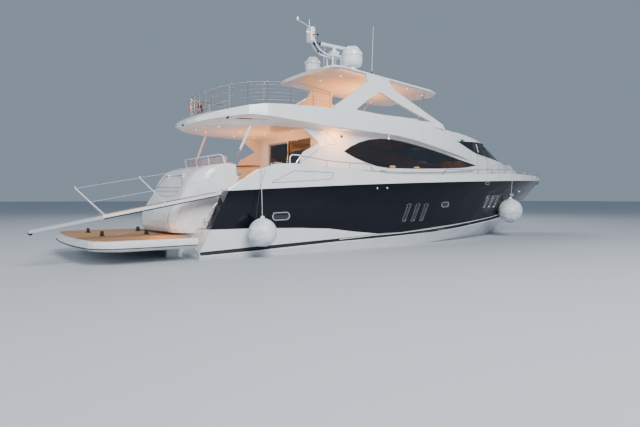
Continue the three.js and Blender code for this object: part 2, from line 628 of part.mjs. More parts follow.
// Flybridge: overhang, coaming, skirt and the roof over the helm in one moulding
const FLY = table(
  ["x", "lipY", "lowZ", "underZ", "highZ", "crownZ"],
  [
    [-9400, 420, 4500, 4480, 4600, 4620], [-9280, 980, 4520, 4465, 4680, 4740],
    [-9050, 1420, 4570, CEILING_Z, 4790, 4880], [-8780, 1740, 4620, CEILING_Z, 4880, 4960],
    [-8450, 2020, 4670, CEILING_Z, 4960, 5020], [-7930, 2330, 4740, CEILING_Z, 5080, 5100],
    [-7330, 2580, 4710, CEILING_Z, 5160, 5160], [-6500, 2740, 4630, CEILING_Z, 5190, 5190],
    [-5600, 2820, 4570, CEILING_Z, 5215, 5215], [-4600, 2850, 4500, CEILING_Z, 5210, 5210],
    [-3400, 2840, 4470, CEILING_Z, 5150, 5150], [-2400, 2820, CEILING_Z, CEILING_Z, 5100, 5100],
    [-1390, 2790, 4415, CEILING_Z, 5060, 5060], [-400, 2760, 4310, CEILING_Z, 5040, 5060],
    [500, 2710, 4180, CEILING_Z, 5030, 5080], [1400, 2620, 4050, CEILING_Z, 4960, 5120],
    [2100, 2540, 3940, CEILING_Z, 4910, 5170], [2770, 2450, 3840, CEILING_Z, 4880, 5200],
    [3500, 2320, 3700, 4470, 4820, 5200], [4150, 2190, 3550, 4500, 4740, 5160],
    [4320, 2150, 4510, 4510, 4720, 5150], [5000, 1960, 4530, 4540, 4620, 5070],
    [5600, 1680, 4560, 4570, 4650, 4960], [6100, 1290, 4600, 4610, 4690, 4860],
    [6450, 830, 4640, 4650, 4710, 4780], [6650, 320, 4660, 4670, 4710, 4720],
  ],
);
const flyForm = loft(
  FLY.map(({ x, lipY, lowZ, underZ, highZ, crownZ }) => {
    const under = Math.max(0.4 * lipY, lipY - 420);
    const shoulder = lerp(highZ, crownZ, 0.75);
    return bothSides([
      [x, 0, Math.min(underZ, lowZ + 60)],
      [x, under, Math.min(underZ, lowZ + 60)],
      [x, lipY - 60, lowZ],
      [x, lipY, lowZ + 30],
      [x, lipY - 35, highZ],
      [x, lipY * 0.62, shoulder],
      [x, 0, crownZ],
    ]);
  }),
);
const WELL_FRONT_X = 2550;
const flyWell = loft(
  FLY.filter(({ x }) => x >= -8450 && x <= 2100)
    .map(({ x, lipY }) => [x, lipY - 170])
    .concat([[WELL_FRONT_X, 1500]])
    .map(([x, y]) => bothSides([[x, 0, FLY_FLOOR_Z], [x, y, FLY_FLOOR_Z], [x, y, 5600], [x, 0, 5600]])),
);
const HELM_WINDOW = [
  [2570, 4505], [4260, 4600], [5600, 4640], [9600, 4640], [9600, 3600], [7570, 3760], [6600, 3830],
  [5450, 3930], [4350, 4050], [3500, 4262],
];
const helmOpening = sidePlate(HELM_WINDOW, -3500, 3500);
const underRoof = houseForm(WALL, BULKHEAD_X + WALL, 8800, 4480);
const houseSolid = houseForm(0, BULKHEAD_X, HOUSE_FRONT_X);
const helmHeadroom = underRoof.intersect(box(2500, 9000, -3000, 3000, 3000, 4700));
const flybridge = mainBody(cut(beside(flyForm, houseSolid), flyWell, helmOpening, helmHeadroom));
add("flybridge", flybridge, FINISH.gelcoat);

// Glass round the helm: outlines of the outer face at the sill and at the roof
const GLASSHOUSE = table(
  ["lowX", "lowY", "highX", "highY"],
  [
    [2450, 2300, 2450, 2290], [4350, 2140, 4000, 2120], [5500, 1940, 4500, 1960],
    [6600, 1655, 4850, 1740], [7600, 1300, 5200, 1440], [8270, 960, 5550, 980], [8800, 500, 5930, 500],
    [9030, 0, 6080, 0],
  ],
);
function glasshouse(inset) {
  const ring = (xKey, yKey, z) => [
    ...GLASSHOUSE.map((row) => [row[xKey] - inset, -Math.max(0, row[yKey] - inset), z]),
    ...GLASSHOUSE.slice(0, -1).reverse().map((row) => [row[xKey] - inset, row[yKey] - inset, z]),
  ];
  return loft([ring("lowX", "lowY", 3680), ring("highX", "highY", 4980)], ["x", "y"]);
}
// All that lies above the roof's underside, so that no glass stands through it
const aboveRoof = loft(
  FLY.filter(({ x }) => x >= 4320).map(({ x, lowZ }) =>
    bothSides([[x, 0, lowZ + 60], [x, 3000, lowZ + 60], [x, 3000, 6000], [x, 0, 6000]]),
  ),
);
const glassBand = cut(glasshouse(0), glasshouse(GLASS), box(2000, 2480, -3000, 3000, 3000, 6000), aboveRoof);
const glassRun = beside(beside(glassBand, houseSolid), flybridge);
// The corner post's line in side view parts the windscreen from the side panes
const CORNER = { footX: 7560, footZ: 3600, headX: 4880, headZ: 4640, topZ: 5300, joint: 4 };
const [footX, headX] = [CORNER.footX + CORNER.joint, CORNER.headX + CORNER.joint];
const frontOfCorner = [
  [footX, CORNER.footZ], [headX, CORNER.headZ], [headX, CORNER.topZ], [12000, CORNER.topZ],
  [12000, CORNER.footZ],
];
const behindCorner = [
  [1500, CORNER.footZ], [CORNER.footX, CORNER.footZ], [CORNER.headX, CORNER.headZ],
  [CORNER.headX, CORNER.topZ], [1500, CORNER.topZ],
];
add("windscreen", mainBody(glassRun.intersect(sidePlate(frontOfCorner, -3000, 3000))), FINISH.glass);
for (const [name, y0, y1] of [["helm_window_port", 500, 3000], ["helm_window_stbd", -3000, -500]]) {
  add(name, mainBody(glassRun.intersect(sidePlate(behindCorner, y0, y1))), FINISH.glass);
}

// Hardtop: a thin crowned roof that falls forward
const HARDTOP = table(
  ["x", "halfY", "crownZ"],
  [
    [-4230, 1600, 7110], [-4120, 1920, 7120], [-3750, 2060, 7130], [1350, 1980, 6810],
    [1850, 1830, 6775], [2060, 1480, 6760],
  ],
);
const hardtop = loft(
  HARDTOP.map(({ x, halfY, crownZ }) =>
    bothSides([
      [x, 0, crownZ - 150], [x, halfY - 90, crownZ - 170], [x, halfY, crownZ - 120],
      [x, halfY - 25, crownZ - 55], [x, halfY * 0.6, crownZ - 12], [x, 0, crownZ],
    ]),
  ),
);
add("hardtop", hardtop, FINISH.gelcoat);

// Arch legs: plates with a three-cornered opening, leaning inboard
const LEG = [
  [-4900, 4900], [-4560, 5350], [-3470, 5980], [-2520, 6600], [-2440, 7100], [-1250, 7100],
  [-1150, 6480], [-170, 5980], [1480, 5160], [1600, 4800],
];
const LEG_HOLE = [
  [-3560, 5290], [-2830, 5760], [-2170, 6170], [-1900, 6190], [-770, 5740], [820, 5190], [-1400, 5190],
];
const LEG_FOOT_Y = 2640;
// All that lies under the coaming's top, so that the legs stand on it
const underCoaming = loft(
  FLY.filter(({ x }) => x >= -5600 && x <= 2100).map(({ x, highZ }) =>
    bothSides([[x, 0, 3000], [x, 3600, 3000], [x, 3600, highZ - 15], [x, 0, highZ - 15]]),
  ),
);
function archLeg(side) {
  const plate = cut(sidePlate(LEG, -60, 60), sidePlate(LEG_HOLE, -200, 200));
  const lean = new THREE.Matrix4().set(
    1, 0, 0, 0,
    -0.036 * side, 1, -0.39 * side, side * (LEG_FOOT_Y - 0.036 * 1500 + 0.39 * 5100),
    0, 0, 1, 0,
    0, 0, 0, 1,
  );
  return mainBody(cut(beside(beside(placed(plate, lean), flybridge), hardtop), underCoaming));
}
add("arch_leg_port", archLeg(1), FINISH.gelcoat);
add("arch_leg_stbd", archLeg(-1), FINISH.gelcoat);
const strut = (side) =>
  beside(beside(bar([1080, side * 1860, 6700], [-20, side * 2480, 5000], 28), flybridge), hardtop);
add("hardtop_strut_port", strut(1), FINISH.steel);
add("hardtop_strut_stbd", strut(-1), FINISH.steel);

// Domes on the hardtop
const domeProfile = (r, bottom, top, stem) => [
  [0, bottom], [stem, bottom], [stem, top - 1.92 * r], [r * 0.8, top - 1.9 * r],
  [r * 0.97, top - 1.7 * r], [r, top - r], [r * 0.92, top - 0.6 * r], [r * 0.71, top - 0.29 * r],
  [r * 0.38, top - 0.07 * r], [0, top],
];
const DOME_FOOT_Z = 6900; // inside the hardtop, which trims the stem
const domeAt = (x, y, r, top, stem) =>
  beside(moved(lathe(domeProfile(r, DOME_FOOT_Z, top, stem), 20), x, y, 0), hardtop);
add("dome_large", domeAt(-2500, -1150, 440, 8230, 190), FINISH.gelcoat);
add("dome_small", domeAt(-2980, 1000, 340, 8180, 110), FINISH.gelcoat);

// Mast: two bent legs carry a platform for the radar, two tubes run on to the light box
const MAST = { x: -2550, halfX: 310, halfY: 260, z: 7990, pedestalZ: 8060, radarZ: 8360 };
const mastLegs = [[-1, -1], [-1, 1], [1, -1], [1, 1]].map(([i, j]) =>
  bar([MAST.x + i * 230, j * 200, 6950], [MAST.x + i * 230, j * 200, MAST.z + 20], 38, 10),
);
const mastTube = (side) =>
  bentBar(
    [[-2840, 150, 8025], [-3150, 145, 8050], [-3420, 135, 8180], [-3620, 125, 8420], [-3740, 110, 8720]]
      .map(([x, y, z]) => [x, side * y, z]),
    30, 8, 8,
  );
const mast = beside(
  join(
    ...mastLegs, mastTube(1), mastTube(-1),
    roundBox(MAST.x - MAST.halfX, MAST.x + MAST.halfX, -MAST.halfY, MAST.halfY, MAST.z, MAST.pedestalZ, 100),
    roundBox(MAST.x - 200, MAST.x + 200, -140, 140, MAST.pedestalZ - 10, 8250, 60),
    bar([MAST.x, 0, 8200], [MAST.x, 0, MAST.radarZ - SEAT_GAP], 90, 16),
    roundBox(-3900, -3680, -190, 190, 8460, 9040, 60),
    bar([-3780, -60, 9000], [-4480, -60, 9230], 14, 6),
    bar([-4480, -60, 9200], [-4480, -60, 9330], 45, 8),
    bar([-3790, 100, 9000], [-3790, 100, 9420], 12, 6),
  ),
  hardtop,
);
add("mast", mast, FINISH.gelcoat);
const scanner = join(bar([0, 0, 0], [0, 0, 60], 90, 16, 80), roundBox(-760, 760, -70, 70, 50, 160, 60));
add("radar_scanner", moved(scanner, MAST.x, 0, MAST.radarZ), FINISH.gelcoat);

// Rail round the aft flybridge
const RAIL_HALF = [
  [-4850, 2760], [-5600, 2760], [-6500, 2690], [-7330, 2500], [-7930, 2220], [-8330, 1830],
  [-8530, 1350], [-8600, 800], [-8620, 270],
];
const railRun = [...RAIL_HALF.map(([x, y]) => [x, -y]), ...RAIL_HALF.slice().reverse()];
const RAIL = table(
  ["x", "topZ"],
  [[-8620, 5780], [-7930, 5870], [-6900, 5930], [-5740, 5880], [-4850, 5780]],
);
const railTop = (x) => fair(RAIL, "topZ", x);
const flyCoamingZ = (x) => fair(FLY, "highZ", x);
const railLine = (part, radius) =>
  bentBar(railRun.map(([x, y]) => [x, y, lerp(flyCoamingZ(x), railTop(x), part)]), radius, 6, 26);
const flyRail = beside(
  join(
    railLine(1, 19),
    railLine(0.67, WIRE_R),
    railLine(0.34, WIRE_R),
    ...railRun.map(([x, y]) => bar([x, y, flyCoamingZ(x) - 60], [x, y, railTop(x)], 14, 6)),
  ),
  flybridge,
);
add("fly_rail", flyRail, FINISH.steel);

// Flybridge fittings
const FLY_Z = FLY_FLOOR_Z + SEAT_GAP;
// A dark screen round the front of the flybridge, leaning back
const DEFLECTOR = table(
  ["x", "y", "topZ"],
  [
    [1420, 2450, 5200], [1850, 2360, 5290], [2350, 2050, 5330], [2660, 1500, 5350], [2780, 800, 5360],
    [2800, 0, 5360],
  ],
);
const SCREEN = { footZ: 4700, thick: 14, rake: 120, close: 0.93 }; // its head is aft by rake, and closer in
function deflector() {
  const ring = ({ x, y, topZ }) => [
    [x, y, SCREEN.footZ],
    [x - SCREEN.thick, y - SCREEN.thick * Math.sign(y), SCREEN.footZ],
    [x - SCREEN.rake - SCREEN.thick, y * SCREEN.close - SCREEN.thick * Math.sign(y), topZ],
    [x - SCREEN.rake, y * SCREEN.close, topZ],
  ];
  const port = DEFLECTOR.map(ring);
  const stbd = DEFLECTOR.slice(0, -1).map((row) => ring({ ...row, y: -row.y })).reverse();
  return skin([...port, ...stbd]);
}
add("wind_deflector", beside(deflector(), flybridge), FINISH.glass);
// Boxes between corners; the last column rounds the upright edges
const built = (rows) =>
  join(
    ...table(["x0", "x1", "y0", "y1", "z0", "z1", "round"], rows).map(({ x0, x1, y0, y1, z0, z1, round }) =>
      round ? roundBox(x0, x1, y0, y1, z0, z1, round) : box(x0, x1, y0, y1, z0, z1),
    ),
  );
const FLY_SEAT_Z = FLY_Z + 430;
const CONSOLE_FACE = [[1500, 5040], [1500, 5170], [1900, 5400], [2300, 5400], [2300, 5040]];
const flyConsole = join(
  built([[1650, 2300, 250, 1350, FLY_Z, 5330, 60]]),
  sidePlate(CONSOLE_FACE, 260, 1340),
);
add("fly_console", flyConsole, FINISH.gelcoat);

const flyHelmSeat = join(
  built([
    [750, 1250, 450, 1200, FLY_Z + 380, FLY_Z + 560, 80],
    [620, 780, 450, 1200, FLY_Z + 380, FLY_Z + 1000, 50],
  ]),
  bar([980, 820, FLY_Z], [980, 820, FLY_Z + 420], 70, 12),
);
add("fly_helm_seat", flyHelmSeat, FINISH.vinyl);

const flySofa = built([
  [-3600, 100, -2380, -1750, FLY_Z, FLY_SEAT_Z, 100],
  [-3600, 100, -2380, -2160, FLY_Z, FLY_SEAT_Z + 330, 60],
  [-4300, -3560, -2380, -700, FLY_Z, FLY_SEAT_Z, 100],
  [-4300, -4080, -2380, -700, FLY_Z, FLY_SEAT_Z + 330, 60],
]);
add("fly_sofa", flySofa, FINISH.vinyl);

const flyTable = join(
  built([[-2900, -900, -1550, -750, FLY_Z + 620, FLY_Z + 670, 80]]),
  bar([-1900, -1150, FLY_Z], [-1900, -1150, FLY_Z + 640], 80, 12),
);
add("fly_table", flyTable, FINISH.teak);

const flyBar = built([
  [-3600, -1400, 1340, 2040, FLY_Z, FLY_Z + 900, 120],
  [-3700, -1300, 1270, 2110, FLY_Z + 890, FLY_Z + 940, 150],
]);
add("fly_bar", flyBar, FINISH.gelcoat);

const LOUNGER_BACK = [[-7000, 180], [-7000, 300], [-6350, 620], [-6300, 520], [-6500, 180]];
const lounger = (y) =>
  join(
    built([
      [-8300, -6500, y - 330, y + 330, FLY_Z + 180, FLY_Z + 300],
      [-8250, -8150, y - 300, y + 300, FLY_Z, FLY_Z + 200],
      [-6700, -6600, y - 300, y + 300, FLY_Z, FLY_Z + 200],
    ]),
    sidePlate(LOUNGER_BACK.map(([x, z]) => [x, FLY_Z + z]), y - 330, y + 330),
  );
add("lounger_port", lounger(900), FINISH.vinyl);
add("lounger_stbd", lounger(-900), FINISH.vinyl);

// Rails on the bulwark
const capAt = (x) => fair(DECK, "capZ", x);
const sheerS = (x) => (x - LINE_X.sheer[0]) / (LINE_X.sheer[1] - LINE_X.sheer[0]);
const sheerY = (x) => onLine("sheer", sheerS(x))[1];
const capY = (x) => sheerY(x) - LEAN - Math.min(CAP, sheerY(x) * 0.6) / 2; // the middle of the cap
const deckAndBulwarks = cut(deckForm(), recess());
function capRail(xs, height, side, ends) {
  const run = xs.map((x, i) => [x, side * capY(x), capAt(x) + height * (ends.includes(i) ? 0.1 : 1)]);
  const standing = run.filter((_, i) => !ends.includes(i));
  const posts = standing.map(([x, y, z]) => bar([x, y, z - height - 60], [x, y, z], 13, 6));
  return beside(join(bentBar(run, 17, 6, xs.length * 2), ...posts), deckAndBulwarks);
}
const SIDE_RAIL = [-6500, -6400, -5200, -4150, -3100, -2950];
const BOW_RAIL = [900, 1050, 2300, 3500, 4700, 5900, 7100, 8300, 9400, 10400, 11300, 12000, 12500];
for (const [name, side] of [["port", 1], ["stbd", -1]]) {
  add("side_rail_" + name, capRail(SIDE_RAIL, 230, side, [0, 5]), FINISH.steel);
  add("bow_rail_" + name, capRail(BOW_RAIL, 200, side, [0, 12]), FINISH.steel);
}

// Struts under the overhang
const overhangStrut = (side) =>
  beside(beside(bar([-7540, side * 1960, 4750], [-8300, side * 1760, 2980], 32), flybridge), block());
add("overhang_strut_port", overhangStrut(1), FINISH.steel);
add("overhang_strut_stbd", overhangStrut(-1), FINISH.steel);

// Saloon doors: one leaf fixed, the other slides in front of it
const LEAF = { stile: 70, foot: 90, head: 70, pane: 12, rebate: 40 };
function doorLeaf(x, y0, y1) {
  const { lowZ, topZ, thick } = SALOON_DOOR;
  const frame = cut(
    box(x, x + thick, y0, y1, lowZ, topZ),
    box(x - 50, x + thick + 50, y0 + LEAF.stile, y1 - LEAF.stile, lowZ + LEAF.foot, topZ - LEAF.head),
  );
  const [middle, half, edge] = [x + thick / 2, LEAF.pane / 2, LEAF.rebate];
  return frame.add(box(middle - half, middle + half, y0 + edge, y1 - edge, lowZ + edge, topZ - edge));
}
const fixedLeaf = doorLeaf(BULKHEAD_X + 20, 10, DOORWAY.halfY - SEAT_GAP);
add("saloon_door_fixed", fixedLeaf, FINISH.steel);
add("saloon_door_sliding", doorLeaf(SALOON_DOOR.leafX, 30, DOORWAY.halfY), FINISH.steel);

// Saloon. Each piece is drawn down into the sole, which trims its foot.
const SOLE_Z = 2300;
const onSole = (solid) => beside(solid, deckAndBulwarks);
const saloonSofa = built([
  [-3600, -300, 1250, 2150, SOLE_Z, 2900, 80],
  [-3600, -300, 1950, 2170, SOLE_Z, 3260, 60],
]);
add("saloon_sofa", onSole(saloonSofa), FINISH.cloth);
const saloonTable = built([
  [-2600, -1200, 450, 1050, 2880, 2930, 60],
  [-2100, -1700, 600, 900, SOLE_Z, 2900],
]);
add("saloon_table", onSole(saloonTable), FINISH.wood);
add("saloon_cabinet", onSole(box(-3400, 1400, -2140, -1640, SOLE_Z, 3080)), FINISH.wood);
const DASH = [[6480, 3300], [6600, 3520], [7300, 3620], [8100, 3620], [8100, 3500], [6700, 3200]];
const helmConsole = join(box(6700, 7300, -1200, 1200, SOLE_Z, 3480), sidePlate(DASH, -1180, 1180));
add("helm_console", onSole(helmConsole), FINISH.wood);
const helmSeat = built([
  [5250, 5800, -900, 900, 3180, 3340, 80],
  [5150, 5290, -900, 900, 3180, 3880, 40],
  [5400, 5700, -500, 500, SOLE_Z, 3220],
]);
add("helm_seat", onSole(helmSeat), FINISH.vinyl);

// Gangway on the starboard quarter: a hollow beam with a second stage inside
const gangwayFrame = new THREE.Matrix4()
  .makeTranslation(GANGWAY.rootX, GANGWAY.y, GANGWAY.rootZ)
  .multiply(new THREE.Matrix4().makeRotationY(-GANGWAY.angle))
  .multiply(new THREE.Matrix4().makeScale(-1, 1, 1));
const half = { w: GANGWAY.wide / 2, d: GANGWAY.deep / 2 };
const stanchion = (u) => bar([u, 20 - half.w, half.d - 10], [u + 620, 20 - half.w, half.d + 870], 15, 8);
const gangwayOuter = join(
  cut(
    box(230, GANGWAY.outer, -half.w, half.w, -half.d, half.d),
    box(330, GANGWAY.outer + 100, -half.w + 16, half.w - 16, -half.d + 16, half.d - 16),
  ),
  bar([0, -half.w + 50 + SEAT_GAP, 0], [0, half.w - 50 - SEAT_GAP, 0], 55, 12),
  box(GANGWAY.outer - 150, GANGWAY.outer, -120, 120, -half.d, -half.d + 16 + RUN_GAP - SEAT_GAP),
  box(0, 240, -half.w + 50 + RUN_GAP, half.w - 50 - RUN_GAP, -40, 40),
  stanchion(270), stanchion(2090), stanchion(3880),
);
const innerW = half.w - 16 - RUN_GAP;
const innerD = half.d - 16 - RUN_GAP;
const gangwayInner = box(GANGWAY.outer - 1000, GANGWAY.end, -innerW, innerW, -innerD, innerD);
add("gangway", placed(gangwayOuter, gangwayFrame), FINISH.gelcoat);
add("gangway_inner", placed(gangwayInner, gangwayFrame), FINISH.teak);
const baseZ = GANGWAY.seatZ + SEAT_GAP;
const CHEEK = [[-8940, baseZ], [-8660, baseZ], [-8710, 2200], [-8890, 2200]];
const CHEEK_WIDE = 50;
const gangwayBase = join(
  box(-8950, -8610, gangwayEdge(-1), gangwayEdge(1), baseZ, GANGWAY.seatZ + 30),
  sidePlate(CHEEK, gangwayEdge(-1), gangwayEdge(-1) + CHEEK_WIDE),
  sidePlate(CHEEK, gangwayEdge(1) - CHEEK_WIDE, gangwayEdge(1)),
);
add("gangway_base", gangwayBase, FINISH.steel);

// Propellers with their shafts, brackets and rudders, drawn for the port side and mirrored
const BLADE = table(
  ["part", "chord"],
  [[0.13, 0.3], [0.35, 0.5], [0.6, 0.62], [0.82, 0.55], [1, 0.22]],
);
function blade(turn) {
  const rings = BLADE.map(({ part, chord }) => {
    const r = part * PROP.radius;
    const length = chord * PROP.radius;
    const pitch = Math.atan2(0.9, Math.PI * part * 0.9);
    const [c, n] = [Math.cos(pitch), Math.sin(pitch)];
    return [[-0.5, -5], [0, -11], [0.5, -5], [0.5, 5], [0, 11], [-0.5, 5]].map(([u, t]) => [
      u * length * c - t * n,
      r,
      u * length * n + t * c,
    ]);
  });
  return placed(loft(rings, ["x", "z"]), new THREE.Matrix4().makeRotationZ(turn));
}
function propeller() {
  const turns = steps(0, 2 * Math.PI, PROP.blades).slice(0, -1);
  const hub = bar([0, 0, -170], [0, 0, 130], 60, 16, 85);
  const shaft = bar([0, 0, 100], [0, 0, PROP.shaft], SHAFT_R, 16);
  return placed(join(hub, shaft, ...turns.map(blade)), shaftFrame);
}
function shaftBracket() {
  const bore = bar([0, 0, 200], [0, 0, 560], (SHAFT_R + 0.2) / Math.cos(Math.PI / 16), 16);
  const boss = cut(bar([0, 0, 260], [0, 0, 480], 95, 16), bore);
  const at = new THREE.Vector3(0, 0, 370).applyMatrix4(shaftFrame);
  const arm = (way) => bar([at.x, at.y + way * 40, at.z + 30], [at.x + 60, at.y + way * 380, -350], 34, 8);
  const arms = cut(join(arm(1), arm(-1)), placed(bar([0, 0, -100], [0, 0, 900], 70, 16), shaftFrame));
  return join(placed(boss, shaftFrame), arms);
}
function rudder() {
  const rings = [[RUDDER.lowZ, 0.75], [-1250, 0.95], [RUDDER.topZ, 1]].map(([z, size]) =>
    [[190, 0], [60, 42], [-200, 30], [-430, 6], [-430, -6], [-200, -30], [60, -42]].map(([x, y]) => [
      RUDDER.x + x * size,
      RUDDER.y + y,
      z,
    ]),
  );
  const stock = bar([RUDDER.x, RUDDER.y, -900], [RUDDER.x, RUDDER.y, RUDDER.padZ - SEAT_GAP], 40, 12);
  return join(loft(rings, ["x", "y"]), stock);
}
for (const [name, side] of [["port", (solid) => solid], ["stbd", mirrored]]) {
  add("propeller_" + name, side(propeller()), FINISH.bronze);
  add("shaft_bracket_" + name, beside(side(shaftBracket()), hullForm), FINISH.bronze);
  add("rudder_" + name, side(rudder()), FINISH.bronze);
}

// Fenders, hung from the bulwark: a ball in parts of its radius, with a neck and an eye on top
const BALL = [
  [0, -1], [0.5, -0.87], [0.87, -0.5], [1, 0], [0.87, 0.5], [0.5, 0.87], [0.14, 1.08], [0.14, 1.2],
  [0, 1.2],
];
const LANYARD_R = 12;
const hullSides = join(hullTopsides(), hullForm);
function fender(x, y, z, radius, capX) {
  const ball = moved(lathe(BALL.map(([r, up]) => [r * radius, up * radius]), 20), x, y, z);
  const edge = [capX, -sheerY(capX) - 20, capAt(capX) + 20];
  const over = [capX, -capY(capX), capAt(capX) - 4];
  const fall = bar([x, y, z + radius], edge, LANYARD_R, 6);
  const turn = bar([edge[0], edge[1], edge[2] - 10], over, LANYARD_R, 6);
  return beside(beside(join(ball, fall, turn), deckAndBulwarks), hullSides);
}
add("fender_aft", fender(-8120, -3530, 370, 460, -7900), FINISH.rubber);
add("fender_fwd", fender(6550, -2560, 720, 580, 6450), FINISH.rubber);

export default yacht;
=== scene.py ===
"""A 26 m flybridge motor yacht afloat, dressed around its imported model.

Metres, +X to the bow, +Y to port, +Z up. The origin is amidships on the waterline.
"""
import json
from math import cos, pi, radians, sin, sqrt

import bmesh
import bpy
from mathutils import Euler, Matrix, Vector


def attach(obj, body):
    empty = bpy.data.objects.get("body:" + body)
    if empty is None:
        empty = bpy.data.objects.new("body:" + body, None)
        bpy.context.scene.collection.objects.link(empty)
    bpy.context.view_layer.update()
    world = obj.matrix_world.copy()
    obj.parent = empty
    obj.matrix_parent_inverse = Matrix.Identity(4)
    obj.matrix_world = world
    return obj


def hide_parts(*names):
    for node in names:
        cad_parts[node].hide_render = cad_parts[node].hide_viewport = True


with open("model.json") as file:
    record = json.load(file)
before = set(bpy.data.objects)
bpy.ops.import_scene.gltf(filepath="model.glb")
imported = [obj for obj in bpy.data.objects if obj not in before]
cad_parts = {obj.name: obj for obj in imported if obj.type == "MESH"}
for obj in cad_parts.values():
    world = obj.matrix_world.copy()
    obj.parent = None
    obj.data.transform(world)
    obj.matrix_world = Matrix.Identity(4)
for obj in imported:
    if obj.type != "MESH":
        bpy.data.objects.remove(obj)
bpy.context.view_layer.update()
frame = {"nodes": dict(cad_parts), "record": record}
NODES = frame["nodes"]


# The photograph's camera
EYE = (-16.34, -18.02, 1.93)
HEADING = 54.13  # degrees from +X towards +Y
DIP = 1.71  # degrees below the horizon
LENS = 29.25


def set_camera():
    bpy.ops.object.select_all(action="DESELECT")
    bpy.ops.object.camera_add(location=EYE, rotation=(radians(90 - DIP), 0, radians(HEADING - 90)))
    camera = bpy.context.object
    camera.name = "camera"
    camera.data.lens = LENS
    camera.data.sensor_width = 36
    camera.data.clip_end = 500
    bpy.context.scene.camera = camera


set_camera()


# Colour and nodes
def hue(code):
    """An sRGB hex colour as linear RGBA."""
    parts = [int(code[i : i + 2], 16) / 255 for i in (1, 3, 5)]
    return tuple(c / 12.92 if c <= 0.04045 else ((c + 0.055) / 1.055) ** 2.4 for c in parts) + (1.0,)


def add_node(tree, kind, inputs=None, **settings):
    """Adds a node with its settings. A value in inputs is a number, a colour or another node's output."""
    made = tree.nodes.new("ShaderNode" + kind)
    for name, value in settings.items():
        setattr(made, name, value)
    for socket, value in (inputs or {}).items():
        if isinstance(value, bpy.types.NodeSocket):
            tree.links.new(value, made.inputs[socket])
        else:
            made.inputs[socket].default_value = value
    return made


def new_material(name, **shader):
    """A material with one Principled shader; gives the material, its tree and the shader."""
    material = bpy.data.materials.new(name)
    material.use_nodes = True
    tree = material.node_tree
    principled = tree.nodes["Principled BSDF"]
    for socket, value in shader.items():
        principled.inputs[socket.replace("_", " ")].default_value = value
    return material, tree, principled


def place_of(tree, scale=(1, 1, 1), turn=(0, 0, 0)):
    """Object coordinates in metres, turned and stretched for a pattern."""
    here = add_node(tree, "TexCoord").outputs["Object"]
    return add_node(tree, "Mapping", {"Vector": here, "Scale": scale, "Rotation": turn}).outputs[0]


def ramp(tree, factor, stops):
    """A colour ramp over stops of place and hex colour."""
    made = add_node(tree, "ValToRGB", {"Fac": factor})
    elements = made.color_ramp.elements
    elements[0].position, elements[0].color = stops[0][0], hue(stops[0][1])
    elements[1].position, elements[1].color = stops[-1][0], hue(stops[-1][1])
    for place, code in stops[1:-1]:
        elements.new(place).color = hue(code)
    return made.outputs["Color"]


def dimmed(code, part):
    """A hex colour made darker, or paler where the part is over 1."""
    return "#%02X%02X%02X" % tuple(min(255, int(int(code[i : i + 2], 16) * part)) for i in (1, 3, 5))


def bump(tree, principled, height, depth, strength=1.0):
    """Joins a height pattern to the shader's normal; depth is in metres."""
    made = add_node(tree, "Bump", {"Height": height, "Distance": depth, "Strength": strength})
    tree.links.new(made.outputs[0], principled.inputs["Normal"])


def calc(tree, operation, *values):
    """What a Math node makes of its values."""
    return add_node(tree, "Math", dict(enumerate(values)), operation=operation).outputs[0]


def noise(tree, stretch=(1, 1, 1), scale=1.0, detail=1.0):
    """Noise over Object coordinates, stretched along each axis."""
    vector = place_of(tree, stretch)
    return add_node(tree, "TexNoise", {"Vector": vector, "Scale": scale, "Detail": detail}).outputs["Fac"]


def coloured(tree, principled, factor, stops, sockets=("Base Color",)):
    """Joins a ramp over a pattern to the shader's colour."""
    for socket in sockets:
        tree.links.new(ramp(tree, factor, stops), principled.inputs[socket])


def mottled(name, stretch, scale, detail, stops, depth=0.0, strength=0.0, **shader):
    """A material whose colour, and relief where it has a depth, follow one noise pattern."""
    material, tree, principled = new_material(name, **shader)
    pattern = noise(tree, stretch, scale, detail)
    coloured(tree, principled, pattern, stops)
    if depth:
        bump(tree, principled, pattern, depth, strength)
    return material


def glossy(name, stretch, stops, wave, depth, strength, **shader):
    """A glossy skin: a faint pattern in its colour and a long waviness in its reflections."""
    material, tree, principled = new_material(name, **shader)
    coloured(tree, principled, noise(tree, stretch, 1.0, 3.0), stops)
    bump(tree, principled, noise(tree, scale=wave), depth, strength)
    return material


# Materials, named for what the real thing is made of
def gelcoat(name, code, roughness=0.16):
    # Moulded polyester gelcoat: glossy, with a long faint waviness and a trace of rain streaks
    stops = [(0.3, dimmed(code, 0.975)), (0.7, code)]
    coat = {"Coat_Weight": 0.4, "Coat_Roughness": 0.06}
    return glossy(name, (3, 3, 0.6), stops, 1.4, 0.004, 0.25, Roughness=roughness, **coat)


PLANK = 0.06  # width of a teak plank
CAULK = 0.006  # width of the black seam between planks


